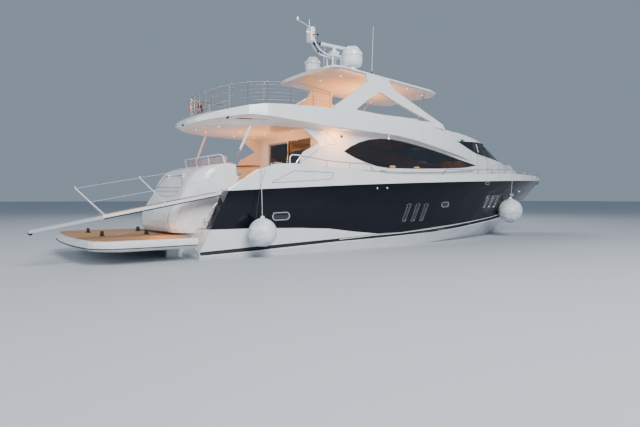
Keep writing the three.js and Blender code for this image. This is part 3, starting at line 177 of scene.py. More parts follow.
def laid_teak():
    # Oiled teak planks along the boat with black caulked seams: straight brown grain, silvered in places
    material, tree, shader = new_material("teak_oiled_laid", Roughness=0.55)
    here = add_node(tree, "TexCoord").outputs["Object"]
    across = calc(tree, "DIVIDE", add_node(tree, "SeparateXYZ", {"Vector": here}).outputs["Y"], PLANK)
    centred = calc(tree, "SUBTRACT", calc(tree, "FRACT", across), 0.5)
    seam = calc(tree, "GREATER_THAN", calc(tree, "ABSOLUTE", centred), 0.5 - CAULK / PLANK / 2)
    plank = calc(tree, "FLOOR", across)
    tone = add_node(tree, "TexWhiteNoise", {"W": plank}, noise_dimensions="1D").outputs["Value"]
    grain = noise(tree, (1.5, 90, 90), detail=5.0)
    mixed = calc(tree, "MULTIPLY_ADD", tone, 0.4, grain)
    wood = ramp(tree, mixed, [(0.3, "#7A5230"), (0.65, "#A87A4A"), (1.0, "#C39A66")])
    colour = add_node(tree, "Mix", {0: seam, 6: wood, 7: hue("#15130F")}, data_type="RGBA")
    tree.links.new(colour.outputs[2], shader.inputs["Base Color"])
    bump(tree, shader, calc(tree, "SUBTRACT", grain, seam), 0.0015, 0.6)
    return material


def stainless():
    # Polished stainless tube: mirror finish with fine lengthwise buffing
    material, tree, shader = new_material("stainless_316_polished", Metallic=1.0, Roughness=0.12)
    shader.inputs["Base Color"].default_value = hue("#D6D9DB")
    buff = noise(tree, scale=160.0, detail=2.0)
    rough = add_node(tree, "MapRange", {"Value": buff, "To Min": 0.08, "To Max": 0.2})
    tree.links.new(rough.outputs[0], shader.inputs["Roughness"])
    return material


def marine_vinyl(name, code):
    # Embossed marine vinyl: soft sheen, leather-like grain of about 1 mm drawn at 3 mm so that it shows
    material, tree, shader = new_material(name, Roughness=0.48)
    coloured(tree, shader, noise(tree, scale=3.0, detail=3.0), [(0.3, dimmed(code, 0.9)), (0.7, code)])
    place = place_of(tree)
    grain = add_node(tree, "TexVoronoi", {"Vector": place, "Scale": 330.0}, feature="DISTANCE_TO_EDGE")
    bump(tree, shader, grain.outputs["Distance"], 0.001, 0.4)
    return material


def woven(name, code):
    # Plain woven cloth: matt, slubby threads of about 1 mm drawn at 4 mm so that they show
    material, tree, shader = new_material(name, Roughness=0.9, Sheen_Weight=0.2)
    values = {"Vector": place_of(tree), "Scale": 80.0, "Distortion": 1.5}
    warp, weft = [add_node(tree, "TexWave", values, bands_direction=way).outputs["Fac"] for way in "XY"]
    threads = calc(tree, "MULTIPLY", warp, weft)
    coloured(tree, shader, threads, [(0.1, dimmed(code, 0.8)), (0.6, code)])
    bump(tree, shader, threads, 0.001, 0.5)
    return material


def rubber(name, code):
    # Extruded rubber, sealant or moulded plastic: matt, a little chalky where it is rubbed
    stops = [(0.4, code), (0.75, dimmed(code, 1.6))]
    return mottled(name, (2, 12, 12), 1.0, 5.0, stops, 0.001, 0.3, Roughness=0.62)


def braid():
    # Braided polyester rope: pale strands that cross in small diamonds
    material, tree, shader = new_material("polyester_rope_braided", Roughness=0.7)
    cross = [
        add_node(tree, "TexWave", {"Vector": place_of(tree, turn=(0, turn, 0)), "Scale": 28.0}).outputs["Fac"]
        for turn in (radians(35), radians(145))
    ]
    weave = calc(tree, "MAXIMUM", *cross)
    coloured(tree, shader, weave, [(0.2, "#9DA3A8"), (0.8, "#DADDDE")])
    bump(tree, shader, weave, 0.002, 0.7)
    return material


def lit_glass(name, code, strength):
    # Opal glass with a lamp behind it: warm and even, a little brighter at its heart
    material, tree, shader = new_material(name, Roughness=0.3, Emission_Strength=strength)
    stops = [(0.3, dimmed(code, 0.9)), (0.7, code)]
    coloured(tree, shader, noise(tree, scale=9.0), stops, ("Base Color", "Emission Color"))
    return material


EVEN = (1, 1, 1)
FINISH = {  # by slot of the record
    # Two-pack polyurethane sprayed near-black navy: deep gloss, long soft reflections
    "topsides_navy": glossy(
        "navy_polyurethane_sprayed", (0.5, 0.5, 2.5), [(0.3, "#080A12"), (0.7, "#0E111D")],
        1.1, 0.006, 0.3, Roughness=0.1, IOR=1.36,
    ),
    "gelcoat_white": gelcoat("white_gelcoat_moulded", "#EEF1F4"),
    "antifouling": gelcoat("white_gelcoat_lower_hull", "#E4E8EC", 0.24),
    "teak": laid_teak(),
    "stainless": stainless(),
    # Cast nickel-aluminium bronze, machined on the blades: warm dull metal with faint casting grain
    "bronze": mottled(
        "propeller_bronze_cast", EVEN, 14.0, 6.0, [(0.3, "#8C6A38"), (0.7, "#C49A58")],
        0.001, 0.4, Metallic=1.0, Roughness=0.34,
    ),
    # Toughened glass, body-tinted blue-black: sharp reflections, a lit room shows through faintly
    "glass": mottled(
        "toughened_glass_tinted", EVEN, 0.6, 1.0, [(0.3, "#0B1017"), (0.7, "#141B24")],
        Roughness=0.02, Alpha=0.62, Coat_Weight=0.6,
    ),
    "upholstery": marine_vinyl("marine_vinyl_ivory", "#DDD8CF"),
    # Lacquered cherry veneer: red-brown, fine straight grain under a gloss film
    "joinery": mottled(
        "cherry_veneer_lacquered", (3, 40, 40), 1.0, 6.0, [(0.3, "#4A1B0E"), (0.7, "#7E3A1F")],
        Roughness=0.22, Coat_Weight=0.7,
    ),
    # Inflated PVC fender, moulded: satin white, scuffed grey where it rubs the hull
    "fender_rubber": mottled(
        "fender_pvc_inflated", (3, 3, 9), 1.0, 6.0, [(0.3, "#B9C3CB"), (0.55, "#E6ECF0")],
        0.002, 0.3, Roughness=0.38,
    ),
}
DARK = rubber("moulded_plastic_charcoal", "#17191D")
WARM = lit_glass("opal_glass_lit_warm", "#FFC27A", 7.0)
SPECIAL = {  # finishes of small pieces, each with the slot it counts to
    "rope": ("fender_rubber", braid()),
    "rubber": ("fender_rubber", rubber("rubber_epdm_extruded_black", "#101113")),
    "seam": ("fender_rubber", rubber("sealant_polyurethane_grey", "#3B424A")),
    "dark": ("fender_rubber", DARK),
    "dark_lens": ("glass", DARK),
    # painted shade: a dark finish that stands in for the sink's hollow
    "dark_bowl": ("stainless", DARK),
    "warm": ("glass", WARM),
    "warm_shade": ("upholstery", WARM),
    "green": ("glass", lit_glass("lens_glass_green", "#1FA463", 0.6)),
    "red": ("glass", lit_glass("lens_glass_red", "#C3342B", 0.6)),
    "clear": ("glass", lit_glass("lens_glass_clear", "#F3F1E6", 0.8)),
    # Dark toughened glass in the hull: near black, mirror bright, a trace of dried salt
    "port_glass": ("glass", mottled(
        "toughened_glass_black", EVEN, 24.0, 4.0, [(0.4, "#07090D"), (0.8, "#1B2129")],
        Roughness=0.04, Coat_Weight=1.0,
    )),
    "ivory": ("upholstery", marine_vinyl("marine_vinyl_ivory_quilted", "#E4DFD5")),
    "rose": ("upholstery", marine_vinyl("marine_vinyl_rose_grey", "#B9A7AA")),
    "dark_red": ("upholstery", marine_vinyl("coated_cloth_dark_red", "#7A2B24")),
    "linen": ("upholstery", woven("linen_weave_sand", "#CFC3AE")),
    "carpet": ("upholstery", woven("wool_carpet_cut_pile_sand", "#B5A48A")),
}


def finish_nodes():
    for part in frame["record"]["subparts"]:
        node = NODES[part["node"]]
        material = FINISH[part["material_slot"]]
        if not node.material_slots:
            node.data.materials.append(material)
        for held in node.material_slots:
            held.material = material
    # Painted aluminium: satin pale grey, faintly wavy
    NODES["gangway_inner"].material_slots[0].material = gelcoat("aluminium_painted_grey", "#B9C0C6", 0.35)


finish_nodes()

SIDES = ((-1, "stbd"), (1, "port"))


# Making pieces
UPWARD, DOWNWARD = (0, 0, 1), (0, 0, -1)
WELD = 0.00005  # corners nearer than this become one
CREASE = radians(40)  # edges sharper than this stay sharp


def take(*pieces):
    """Selects only these pieces, the last one active; with none, nothing is selected."""
    bpy.ops.object.select_all(action="DESELECT")
    for piece in pieces:
        piece.select_set(True)
        bpy.context.view_layer.objects.active = piece


def apply_modifier(piece, kind, **settings):
    take(piece)
    modifier = piece.modifiers.new(kind.lower(), kind)
    for name, value in settings.items():
        setattr(modifier, name, value)
    bpy.ops.object.modifier_apply(modifier=modifier.name)


def edit(piece):
    """Opens a piece for shaping with all of it selected."""
    take(piece)
    bpy.ops.object.mode_set(mode="EDIT")
    bpy.ops.mesh.select_all(action="SELECT")


def close():
    bpy.ops.object.mode_set(mode="OBJECT")


def joined(pieces):
    """Several meshes as one piece."""
    take(*pieces)
    bpy.ops.object.join()
    return bpy.context.object


def settle(piece, name, kind, body="hull"):
    """Names a piece or several as one, bakes its place in, closes it, gives it its finish and body; the slot
    that goes with the finish is looked up but not set.
    """
    slot, finish = SPECIAL[kind] if kind in SPECIAL else (kind, FINISH[kind])
    if isinstance(piece, list):
        piece = joined(piece)
    take(piece)
    if piece.type != "MESH":
        bpy.ops.object.convert(target="MESH")
        piece = bpy.context.object
    bpy.ops.object.transform_apply(location=True, rotation=True, scale=True)
    edit(piece)
    bpy.ops.mesh.remove_doubles(threshold=WELD)
    bpy.ops.mesh.normals_make_consistent(inside=False)
    close()
    bpy.ops.object.shade_smooth_by_angle(angle=CREASE)
    piece.name = piece.data.name = name
    piece.data.materials.clear()
    piece.data.materials.append(finish)
    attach(piece, body)
    return piece


def copy_of(piece, name, matrix, body="hull"):
    """A copy with its own mesh, moved by a matrix; a mirrored one is turned right side out again."""
    made = piece.copy()
    made.data = piece.data.copy()
    made.name = made.data.name = name
    bpy.context.collection.objects.link(made)
    made.data.transform(matrix)
    if matrix.determinant() < 0:
        made.data.flip_normals()
    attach(made, body)
    return made


MIRROR = Matrix.Scale(-1, 4, (0, 1, 0))


def on_both_sides(piece):
    """A copy of a starboard piece on the port side."""
    return copy_of(piece, piece.name.replace("stbd", "port"), MIRROR)


def block(low, high, radius=0.0, segments=2):
    """A block between two corners with its edges rounded over."""
    take()
    middle = [(a + b) / 2 for a, b in zip(low, high)]
    bpy.ops.mesh.primitive_cube_add(size=1, location=middle, scale=[b - a for a, b in zip(low, high)])
    piece = bpy.context.object
    bpy.ops.object.transform_apply(location=True, rotation=True, scale=True)
    if radius:
        edit(piece)
        bpy.ops.mesh.bevel(offset=radius, segments=segments, affect="EDGES")
        close()
    return piece


def outline_face(points):
    """A flat face through points of a closed outline in x and y."""
    take()
    bpy.ops.mesh.primitive_circle_add(vertices=len(points), fill_type="NGON")
    piece = bpy.context.object
    for vertex, (x, y) in zip(piece.data.vertices, points):
        vertex.co = (x, y, 0)
    edit(piece)
    bpy.ops.mesh.normals_make_consistent(inside=False)
    close()
    return face_up(piece)


def face_up(piece):
    """Turns a flat piece over if it looks down."""
    if piece.data.polygons[0].normal.z < 0:
        piece.data.flip_normals()
    return piece


def stadium(length, height):
    """An outline with round ends."""
    r = height / 2
    turn = [pi / 2 + pi * i / 10 for i in range(11)]
    left = [(-length / 2 + r + r * cos(a), r * sin(a)) for a in turn]
    return left + [(-x, -y) for x, y in left]


def rounded(shape, radius, sides=4):
    """A cornered outline with each corner rounded."""
    points = []
    for i, corner in enumerate(shape):
        here = Vector(corner)
        before, after = Vector(shape[i - 1]) - here, Vector(shape[(i + 1) % len(shape)]) - here
        start, end = here + before.normalized() * radius, here + after.normalized() * radius
        for k in range(sides + 1):
            t = k / sides
            points.append(tuple(start * (1 - t) ** 2 + here * 2 * t * (1 - t) + end * t**2))
    return points


def thicken(piece, thickness, edge=0.0, segments=2):
    """Gives a flat face its thickness along its normal, and eases its edges."""
    apply_modifier(piece, "SOLIDIFY", thickness=thickness, offset=1.0)
    if edge:
        settings = {"limit_method": "ANGLE", "angle_limit": radians(50)}
        apply_modifier(piece, "BEVEL", width=edge, segments=segments, **settings)
    return piece


def plate(points, thickness, edge=0.0, segments=2):
    """A flat piece with this outline."""
    return thicken(outline_face(points), thickness, edge, segments)


def corners(low, high):
    """The outline of an oblong between two corners."""
    return [low, (high[0], low[1]), high, (low[0], high[1])]


def oblong(wide, deep, radius, sides=4):
    """The outline of an oblong round the origin, of these half sizes, with rounded corners."""
    return rounded(corners((-wide, -deep), (wide, deep)), radius, sides)


def oval(wide, deep, sides, middle=(0, 0, 0)):
    """Points on a level circle or oval round a middle."""
    turns = [2 * pi * k / sides for k in range(sides)]
    return [(middle[0] + wide * cos(a), middle[1] + deep * sin(a), middle[2]) for a in turns]


def ring_of(points, border, thickness, edge):
    """A flat frame: an outline inset by its border, with the middle taken out."""
    piece = outline_face(points)
    edit(piece)
    bpy.ops.mesh.inset(thickness=border)
    bpy.ops.mesh.delete(type="FACE")
    close()
    return thicken(piece, thickness, edge)


def facing(place, outward, along=(1, 0, 0)):
    """The turn and shift that bring a piece made at the origin to a place, its z outward and its x along."""
    z = Vector(outward).normalized()
    x = (Vector(along) - z * Vector(along).dot(z)).normalized()
    return Matrix.Translation(place) @ Matrix((x, z.cross(x), z)).transposed().to_4x4()


def stand(piece, place, outward, along=(1, 0, 0)):
    """Brings a piece made flat at the origin to its place."""
    piece.data.transform(facing(place, outward, along))
    return piece


def tube(points, radius, closed=False, soft=True, sides=3):
    """A round bar along points, smooth through them or cornered."""
    take()
    bpy.ops.curve.primitive_nurbs_path_add()
    piece = bpy.context.object
    piece.location = (0, 0, 0)
    curve = piece.data
    curve.splines.clear()
    spline = curve.splines.new("BEZIER" if soft else "POLY")
    if soft:
        spline.bezier_points.add(len(points) - 1)
        for knot, point in zip(spline.bezier_points, points):
            knot.co = point
            knot.handle_left_type = knot.handle_right_type = "AUTO"
    else:
        spline.points.add(len(points) - 1)
        for knot, point in zip(spline.points, points):
            knot.co = (*point, 1)
    spline.use_cyclic_u = closed
    spline.resolution_u = 6
    curve.dimensions = "3D"
    curve.bevel_depth = radius
    curve.bevel_resolution = sides
    curve.use_fill_caps = not closed
    take(piece)
    bpy.ops.object.convert(target="MESH")
    return bpy.context.object


def rod(points, radius):
    """A round bar with corners."""
    return tube(points, radius, soft=False)


def turned(rows, place=(0, 0, 0), axis=(0, 0, 1), sides=24):
    """A disc extruded and widened through rows of radius and height along its axis.

    Only the steps between heights count: the first row stands at the place, whatever its height says.
    """
    take()
    bpy.ops.mesh.primitive_circle_add(vertices=sides, radius=rows[0][0], fill_type="NGON")
    piece = bpy.context.object
    edit(piece)
    at, height = rows[0]
    for radius, level in rows[1:]:
        bpy.ops.mesh.extrude_region_move(TRANSFORM_OT_translate={"value": (0, 0, level - height)})
        bpy.ops.transform.resize(value=(radius / at, radius / at, 1), center_override=(0, 0, level - height))
        at, height = radius, level
    close()
    return stand(piece, place, axis, (1, 0, 0) if abs(Vector(axis).normalized().x) < 0.9 else (0, 1, 0))


OUTSIDE = 12  # a y well clear of the boat


def on_side(node, x, z, side=-1):
    """Where a node's outer face is at x and z, looked at from starboard or port, and the way it faces."""
    hit, place, normal, _ = NODES[node].ray_cast((x, side * OUTSIDE, z), (0, -side, 0))
    return (place, normal) if hit else (None, None)


def along(rows, x, column):
    """A column's value at x, on straight runs between the rows."""
    for a, b in zip(rows, rows[1:]):
        if x <= b[0]:
            break
    return a[column] + (b[column] - a[column]) * (x - a[0]) / (b[0] - a[0])


# Lanyards: each lies on the bulwark's cap, turns over its edge and falls straight to the eye of the
# fender's CAD solid. The ball drawn below hangs higher by its radius and hides the rope's last part.
LANYARD = 0.02  # diameter
LANYARDS = {
    "aft": [
        (-7.9, -2.96, 2.911), (-7.9, -2.994, 2.917), (-7.9, -3.028, 2.92), (-7.9, -3.04, 2.9185),
        (-7.901, -3.0505, 2.914), (-7.902, -3.06, 2.907), (-7.903, -3.067, 2.8975), (-7.905, -3.072, 2.885),
        (-7.932, -3.129, 2.644), (-7.959, -3.1865, 2.403), (-7.986, -3.244, 2.162), (-8.0125, -3.301, 1.921),
        (-8.039, -3.358, 1.68), (-8.066, -3.4155, 1.439), (-8.093, -3.473, 1.198), (-8.12, -3.53, 0.957),
    ],
    "fwd": [
        (6.45, -2.6, 3.135), (6.45, -2.634, 3.142), (6.45, -2.667, 3.144), (6.45, -2.6786, 3.1425),
        (6.4505, -2.6895, 3.138), (6.451, -2.6988, 3.131), (6.452, -2.706, 3.1215), (6.453, -2.7105, 3.11),
        (6.454, -2.712, 3.098), (6.462, -2.71, 2.95), (6.472, -2.706, 2.78), (6.485, -2.6817, 2.5585),
        (6.498, -2.6573, 2.337), (6.511, -2.633, 2.1155), (6.524, -2.6087, 1.894), (6.537, -2.5843, 1.6725),
        (6.55, -2.56, 1.451),
    ],
}


def lanyards():
    for name, route in LANYARDS.items():
        rope = settle(rod(route, LANYARD / 2), "lanyard_" + name, "rope")
        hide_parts("fender_" + name)


lanyards()


# Cushions
VOXEL = 0.022  # cell of a cushion's mesh
PRESSURE = 4  # of the air that swells it
STEPS = 20  # of its simulation
SWELL = 0.022  # the most that a point moves
WELT = 0.009  # radius of the piping


def stuffed(size, edge):
    """A cushion on z = 0 at the origin: a rounded block swelled by cloth simulation, flat underneath."""
    wide, deep, high = size
    piece = block((-wide / 2, -deep / 2, 0), (wide / 2, deep / 2, high), edge, 3)
    apply_modifier(piece, "REMESH", mode="VOXEL", voxel_size=VOXEL)
    before = [vertex.co.copy() for vertex in piece.data.vertices]
    cloth = piece.modifiers.new("cloth", "CLOTH")
    cloth.settings.use_pressure = True
    cloth.settings.uniform_pressure_force = PRESSURE
    cloth.settings.effector_weights.gravity = 0
    for step in range(1, STEPS + 1):
        bpy.context.scene.frame_set(step)
    take(piece)
    bpy.ops.object.modifier_apply(modifier="cloth")
    bpy.context.scene.frame_set(1)
    for vertex, start in zip(piece.data.vertices, before):
        way = vertex.co - start
        if way.length > SWELL:
            vertex.co = start + way * (SWELL / way.length)
        vertex.co.z = max(vertex.co.z, 0.0)
    return piece


def welted(size, edge):
    """A stuffed cushion with a piped welt sewn round the rim of its upper face."""
    wide, deep, high = size
    pad = stuffed(size, edge)
    rim = oblong(wide / 2, deep / 2, edge * 1.6)
    piping = tube([(x * 0.985, y * 0.985, high * 0.93) for x, y in rim], WELT, closed=True, soft=False)
    return joined([piping, pad])


CUSHIONS = [  # names and their ends, size, edge, cover, first place, step in x and y, turn, node
    ("fly_sofa_seat_", "01234", (0.72, 0.44, 0.13), 0.03,
     "ivory", (-3.21, -1.985, 4.9), (0.735, 0), (0, 0, 0), "fly_sofa"),
    ("fly_sofa_back_", "01234", (0.72, 0.34, 0.1), 0.03,
     "ivory", (-3.21, -2.19, 5.2), (0.735, 0), (98, 0, 180), "fly_sofa"),
    ("fly_sofa_end_seat_", "01", (0.76, 0.5, 0.13), 0.03,
     "ivory", (-3.86, -1.86, 4.9), (0, 0.78), (0, 0, 90), "fly_sofa"),
    ("fly_sofa_end_back_", "01", (0.76, 0.34, 0.1), 0.03,
     "ivory", (-4.1, -1.86, 5.2), (0, 0.78), (98, 0, 90), "fly_sofa"),
    ("fly_helm_cushion", [""], (0.6, 0.72, 0.15), 0.035,
     "ivory", (0.95, 0.825, 5.0), (0, 0), (0, 0, 0), "fly_helm_seat"),
    ("fly_helm_back", [""], (0.72, 0.46, 0.12), 0.035,
     "ivory", (0.645, 0.825, 5.37), (0, 0), (98, 0, 90), "fly_helm_seat"),
    ("lounger_pad_", ("stbd", "port"), (1.24, 0.58, 0.08), 0.025,
     "ivory", (-7.62, -0.9, 4.855), (0, 1.8), (0, 0, 0), None),
    ("lounger_head_", ("stbd", "port"), (0.66, 0.58, 0.08), 0.025,
     "ivory", (-6.69, -0.9, 5.02), (0, 1.8), (0, -27, 0), None),
    ("saloon_seat_", "0123", (0.8, 0.68, 0.19), 0.045,
     "linen", (-3.18, 1.62, 2.7), (0.82, 0), (0, 0, 0), "saloon_sofa"),
    ("saloon_back_", "0123", (0.8, 0.36, 0.14), 0.045,
     "linen", (-3.18, 2.03, 3.08), (0.82, 0), (82, 0, 0), "saloon_sofa"),
    ("helm_cushion_", "01", (0.84, 0.48, 0.12), 0.03,
     "ivory", (5.54, -0.44, 3.22), (0, 0.88), (0, 0, 90), "helm_seat"),
    ("helm_back_", "01", (0.84, 0.52, 0.1), 0.03,
     "ivory", (5.22, -0.44, 3.6), (0, 0.88), (95, 0, 90), "helm_seat"),
    ("cockpit_back_", "01234", (0.6, 0.28, 0.11), 0.035,
     "rose", (-8.5, -1.24, 3.24), (0, 0.62), (96, 0, 90), None),
    ("cockpit_seat_", "01234", (0.6, 0.44, 0.12), 0.035,
     "rose", (-8.02, -1.24, 2.72), (0, 0.62), (0, 0, 90), None),
]


def lay_cushions():
    for name, ends, size, edge, cover, first, step, turn, node in CUSHIONS:
        pattern = welted(size, edge)
        angles = Euler([radians(a) for a in turn]).to_matrix().to_4x4()
        for i, end in enumerate(ends):
            place = [a + b * i for a, b in zip(first, (*step, 0))]
            made = copy_of(pattern, name + end, Matrix.Translation(place) @ angles)
            made.data.materials.clear()
            made.data.materials.append(SPECIAL[cover][1])
            if node:
                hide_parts(node)
            take(made)
            bpy.ops.object.shade_smooth()
        bpy.data.objects.remove(pattern)


FLY_Z = 4.62  # the flybridge's floor
BASES = [  # name, finish, node, and blocks as low corner, high corner and edge
    ("fly_sofa_plinth", "gelcoat_white", "fly_sofa", [
        ((-3.6, -2.38, FLY_Z), (0.1, -1.78, 4.9), 0.03),
        ((-4.3, -2.38, FLY_Z), (-3.56, -0.72, 4.9), 0.03),
        ((-3.6, -2.385, 4.86), (0.1, -2.22, 5.3), 0.03),
        ((-4.3, -2.385, 4.86), (-4.14, -0.72, 5.3), 0.03),
    ]),
    ("saloon_sofa_base", "joinery", "saloon_sofa", [
        ((-3.6, 1.27, 2.5), (-0.3, 2.12, 2.7), 0.02), ((-3.6, 2.0, 2.5), (-0.3, 2.16, 3.1), 0.02),
    ]),
    ("helm_seat_plinth", "joinery", "helm_seat", [
        ((5.36, -0.6, 2.83), (5.74, 0.6, 3.2), 0.03), ((5.27, -0.88, 3.18), (5.78, 0.88, 3.22), 0.012),
    ]),
    # The long seat on the garage's roof, and the bench in the cockpit
    ("cockpit_seat_coaming", "gelcoat_white", None, [((-8.62, -1.62, 3.06), (-8.24, 1.62, 3.12), 0.02)]),
    ("cockpit_bench", "gelcoat_white", None, [((-8.18, -1.55, 2.389), (-7.95, 1.55, 2.72), 0.03)]),
]


def seat_bases():
    for name, kind, node, blocks in BASES:
        base = settle([block(*row) for row in blocks], name, kind)
        if node:
            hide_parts(node)
    rows = [(0.17, FLY_Z), (0.17, 4.635), (0.07, 4.66), (0.06, 4.94), (0.11, 4.98), (0.11, 5.0)]
    pedestal = settle(turned(rows, (0.98, 0.82, 0)), "fly_helm_pedestal", "stainless")
    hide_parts("fly_helm_seat")


def loungers():
    for side, name in SIDES:
        inner, outer = side * 0.9 - 0.315, side * 0.9 + 0.315
        starts = [-8.28 + 0.1 * i for i in range(13)]
        slats = [block((x, inner + 0.005, 4.83), (x + 0.08, outer - 0.005, 4.85), 0.004) for x in starts]
        bars = [rod([(-8.29, y, 4.82), (-6.98, y, 4.82), (-6.36, y, 5.13)], 0.016) for y in (inner, outer)]
        for x in (-8.15, -6.7):
            bars.append(rod([(x, inner, 4.82), (x, inner, 4.63), (x, outer, 4.63), (x, outer, 4.82)], 0.014))
        lounger = settle(bars, "lounger_frame_" + name, "stainless")
        settle(slats, "lounger_slats_" + name, "teak")
        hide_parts("lounger_" + name)


seat_bases()
lay_cushions()
loungers()


# Hull side: bands, portlights and seams
BAND = [  # x, foot and top of the black band above the waterline
    (-9.97, 0.15, 0.25), (-8.34, 0.2, 0.32), (-4.61, 0.35, 0.45), (-2.87, 0.39, 0.53), (-1.58, 0.43, 0.56),
    (0.5, 0.5, 0.66), (2.3, 0.62, 0.79), (5.6, 0.88, 1.05), (9.0, 1.23, 1.4), (11.1, 1.52, 1.7),
]


def hull_y(x, z):
    """How far out the hull's side stands at x and z."""
    found = [on_side(node, x, z)[0] for node in ("hull_bottom", "hull_topsides")]
    return max((abs(place.y) for place in found if place), default=0.0)


def grid(columns, rows):
    """A flat sheet from -1 to 1 each way, cut into columns and rows."""
    take()
    bpy.ops.mesh.primitive_grid_add(x_subdivisions=columns, y_subdivisions=rows)
    return bpy.context.object


def band(name, rows, kind, levels=6, proud=0.004):
    """A band laid on the hull's side between two heights that follow rows of x, foot and top."""
    piece = grid(84, levels)
    for vertex in piece.data.vertices:
        u, v = (vertex.co.x + 1) / 2, (vertex.co.y + 1) / 2
        x = rows[0][0] + (rows[-1][0] - rows[0][0]) * u
        z = along(rows, x, 1) * (1 - v) + along(rows, x, 2) * v
        vertex.co = (x, -hull_y(x, z) - proud, z)
    apply_modifier(piece, "SOLIDIFY", thickness=proud * 2, offset=0.0)
    on_both_sides(settle(piece, name, kind))


def bands():
    band("boot_band_stbd", BAND, "rubber")
    pin = [(x, top - 0.045, top - 0.018) for x, foot, top in BAND if x > -5]
    band("pinstripe_stbd", pin, "gelcoat_white", 2, 0.008)


def hull_fitting(outline, border, name, x, z):
    """A framed pane let into the topsides: a polished frame and a dark pane just inside it."""
    place, outward = on_side("hull_topsides", x, z)
    lean = (1, 0, 0.03)
    rim = stand(ring_of(outline, border, 0.022, 0.006), place + outward * 0.001, outward, lean)
    on_both_sides(settle(rim, name + "_frame_stbd", "stainless"))
    pane = plate([(u * 0.97, v * 0.97) for u, v in outline], 0.008, 0.002)
    stand(pane, place + outward * 0.0005, outward, lean)
    on_both_sides(settle(pane, name + "_pane_stbd", "port_glass"))


def portlights():
    for name, size, border, x, z in (
        ("portlight_aft", (0.7, 0.29), 0.045, -7.13, 1.32),
        ("portlight_mid", (0.52, 0.24), 0.035, 1.17, 1.65),
        ("portlight_fwd", (0.5, 0.22), 0.035, 7.25, 2.09),
        ("chain_port", (0.34, 0.16), 0.03, 8.19, 2.28),
    ):
        hull_fitting(stadium(*size), border, name, x, z)
    wide = 0.11  # half the width of a slot window
    groups = (("main", -1.22, 0.98, 1.7, 0.16), ("fore", 4.45, 1.46, 2.08, 0.14))
    for group, start, foot, top, lean in groups:
        high = (top - foot) / 2
        slot = [(-wide - lean, -high), (wide - lean, -high), (wide + lean, high), (-wide + lean, high)]
        for i in range(3):
            name = "slot_window_%s_%d" % (group, i)
            hull_fitting(rounded(slot, 0.06), 0.014, name, start + i * 0.52, (foot + top) / 2)


def side_dots():
    # Two small discharge fittings and a fairlead under the bulwark's cap
    for name, x, z in (("vent_a_stbd", -2.87, 2.3), ("vent_b_stbd", -2.35, 2.31)):
        rows = [(0.045, 0.0), (0.045, 0.012), (0.0315, 0.026), (0.0135, 0.03)]
        on_both_sides(settle(turned(rows, *on_side("hull_topsides", x, z), 20), name, "stainless"))
    lead = stand(ring_of(stadium(0.34, 0.15), 0.035, 0.035, 0.012), *on_side("hull_topsides", 4.15, 2.62))
    on_both_sides(settle(lead, "fairlead_stbd", "stainless"))


BEAD_STEP = 0.12  # length between two points of a bead


def stepped(points, count=0, closed=True):
    """Points at even steps along the straight runs of an outline: so many to a run, or one each step."""
    path = []
    for (u0, v0), (u1, v1) in zip(points, points[1:] + (points[:1] if closed else [])):
        steps = count or max(1, int(sqrt((u1 - u0) ** 2 + (v1 - v0) ** 2) / BEAD_STEP))
        path += [(u0 + (u1 - u0) * k / steps, v0 + (v1 - v0) * k / steps) for k in range(steps)]
    return path if closed else path + points[-1:]


def grown(points, by):
    """A closed outline that runs clockwise, moved outwards."""
    made = []
    for i, (x, z) in enumerate(points):
        way = (Vector(points[(i + 1) % len(points)]) - Vector(points[i - 1])).normalized()
        made.append((x - way.y * by, z + way.x * by))
    return made


EYE_PANE = [  # x and z round the side window
    (-3.94, 3.71), (-3.62, 3.89), (-3.21, 4.07), (-2.7, 4.21), (-2.1, 4.29), (-1.45, 4.3), (-0.79, 4.25),
    (0.15, 4.13), (1.15, 3.98), (2.1, 3.83), (2.81, 3.7), (4.28, 3.47), (3.32, 3.36), (1.67, 3.26),
    (-0.31, 3.19), (-1.66, 3.17), (-2.3, 3.22), (-2.9, 3.35), (-3.46, 3.52),
]
BULWARK_PANEL = rounded([(-7.53, 2.43), (-6.62, 2.86), (-4.93, 2.84), (-5.06, 2.6)], 0.1)
HELM_EDGE = [(3.56, 4.3), (4.35, 4.08), (5.45, 3.965), (6.6, 3.87), (7.3, 3.82)]
HELM_DOOR = [(4.45, 2.86), (5.41, 2.9), (5.41, 3.89), (4.45, 4.0)]
BEADS = [  # seams and bars on a side: name, node, finish, radius, closed or not, x and z of its points
    ("bulwark_panel", "bulwark_stbd", "seam", 0.009, True, BULWARK_PANEL),
    ("bulwark_joint", "bulwark_stbd", "seam", 0.007, False, [(-7.95, 2.23), (-7.72, 2.88)]),
    ("topsides_joint", "hull_topsides", "seam", 0.006, False, [(-8.1, 1.02), (-7.96, 2.16)]),
    ("eye_gasket", "deckhouse", "dark", 0.014, True, grown(EYE_PANE, 0.012)),
    ("helm_gasket", "helm_window_stbd", "dark", 0.014, False, HELM_EDGE),
    ("helm_mullion", "helm_window_stbd", "gelcoat_white", 0.022, False, [(4.54, 4.54), (4.73, 4.0)]),
    ("helm_post", "helm_window_stbd", "dark", 0.02, False, [(5.36, 4.42), (7.4, 3.84)]),
    ("helm_door_seam", "helm_door_stbd", "seam", 0.007, True, HELM_DOOR),
    ("wing_line", "deckhouse", "seam", 0.01, False, [(-5.85, 3.26), (-5.15, 3.72)]),
    ("side_panel", "deckhouse", "seam", 0.008, True, [(-4.8, 4.4), (-4.8, 3.94), (-4.22, 3.94)]),
]


def beads():
    """Thin beads along the outer face of nodes, on both sides."""
    for name, node, kind, radius, closed, points in BEADS:
        spots = [on_side(node, x, z)[0] for x, z in stepped(points, closed=closed)]
        line = tube([tuple(p) for p in spots if p], radius, closed, soft=False, sides=1)
        on_both_sides(settle(line, name + "_stbd", kind))


bands()
portlights()
side_dots()
beads()


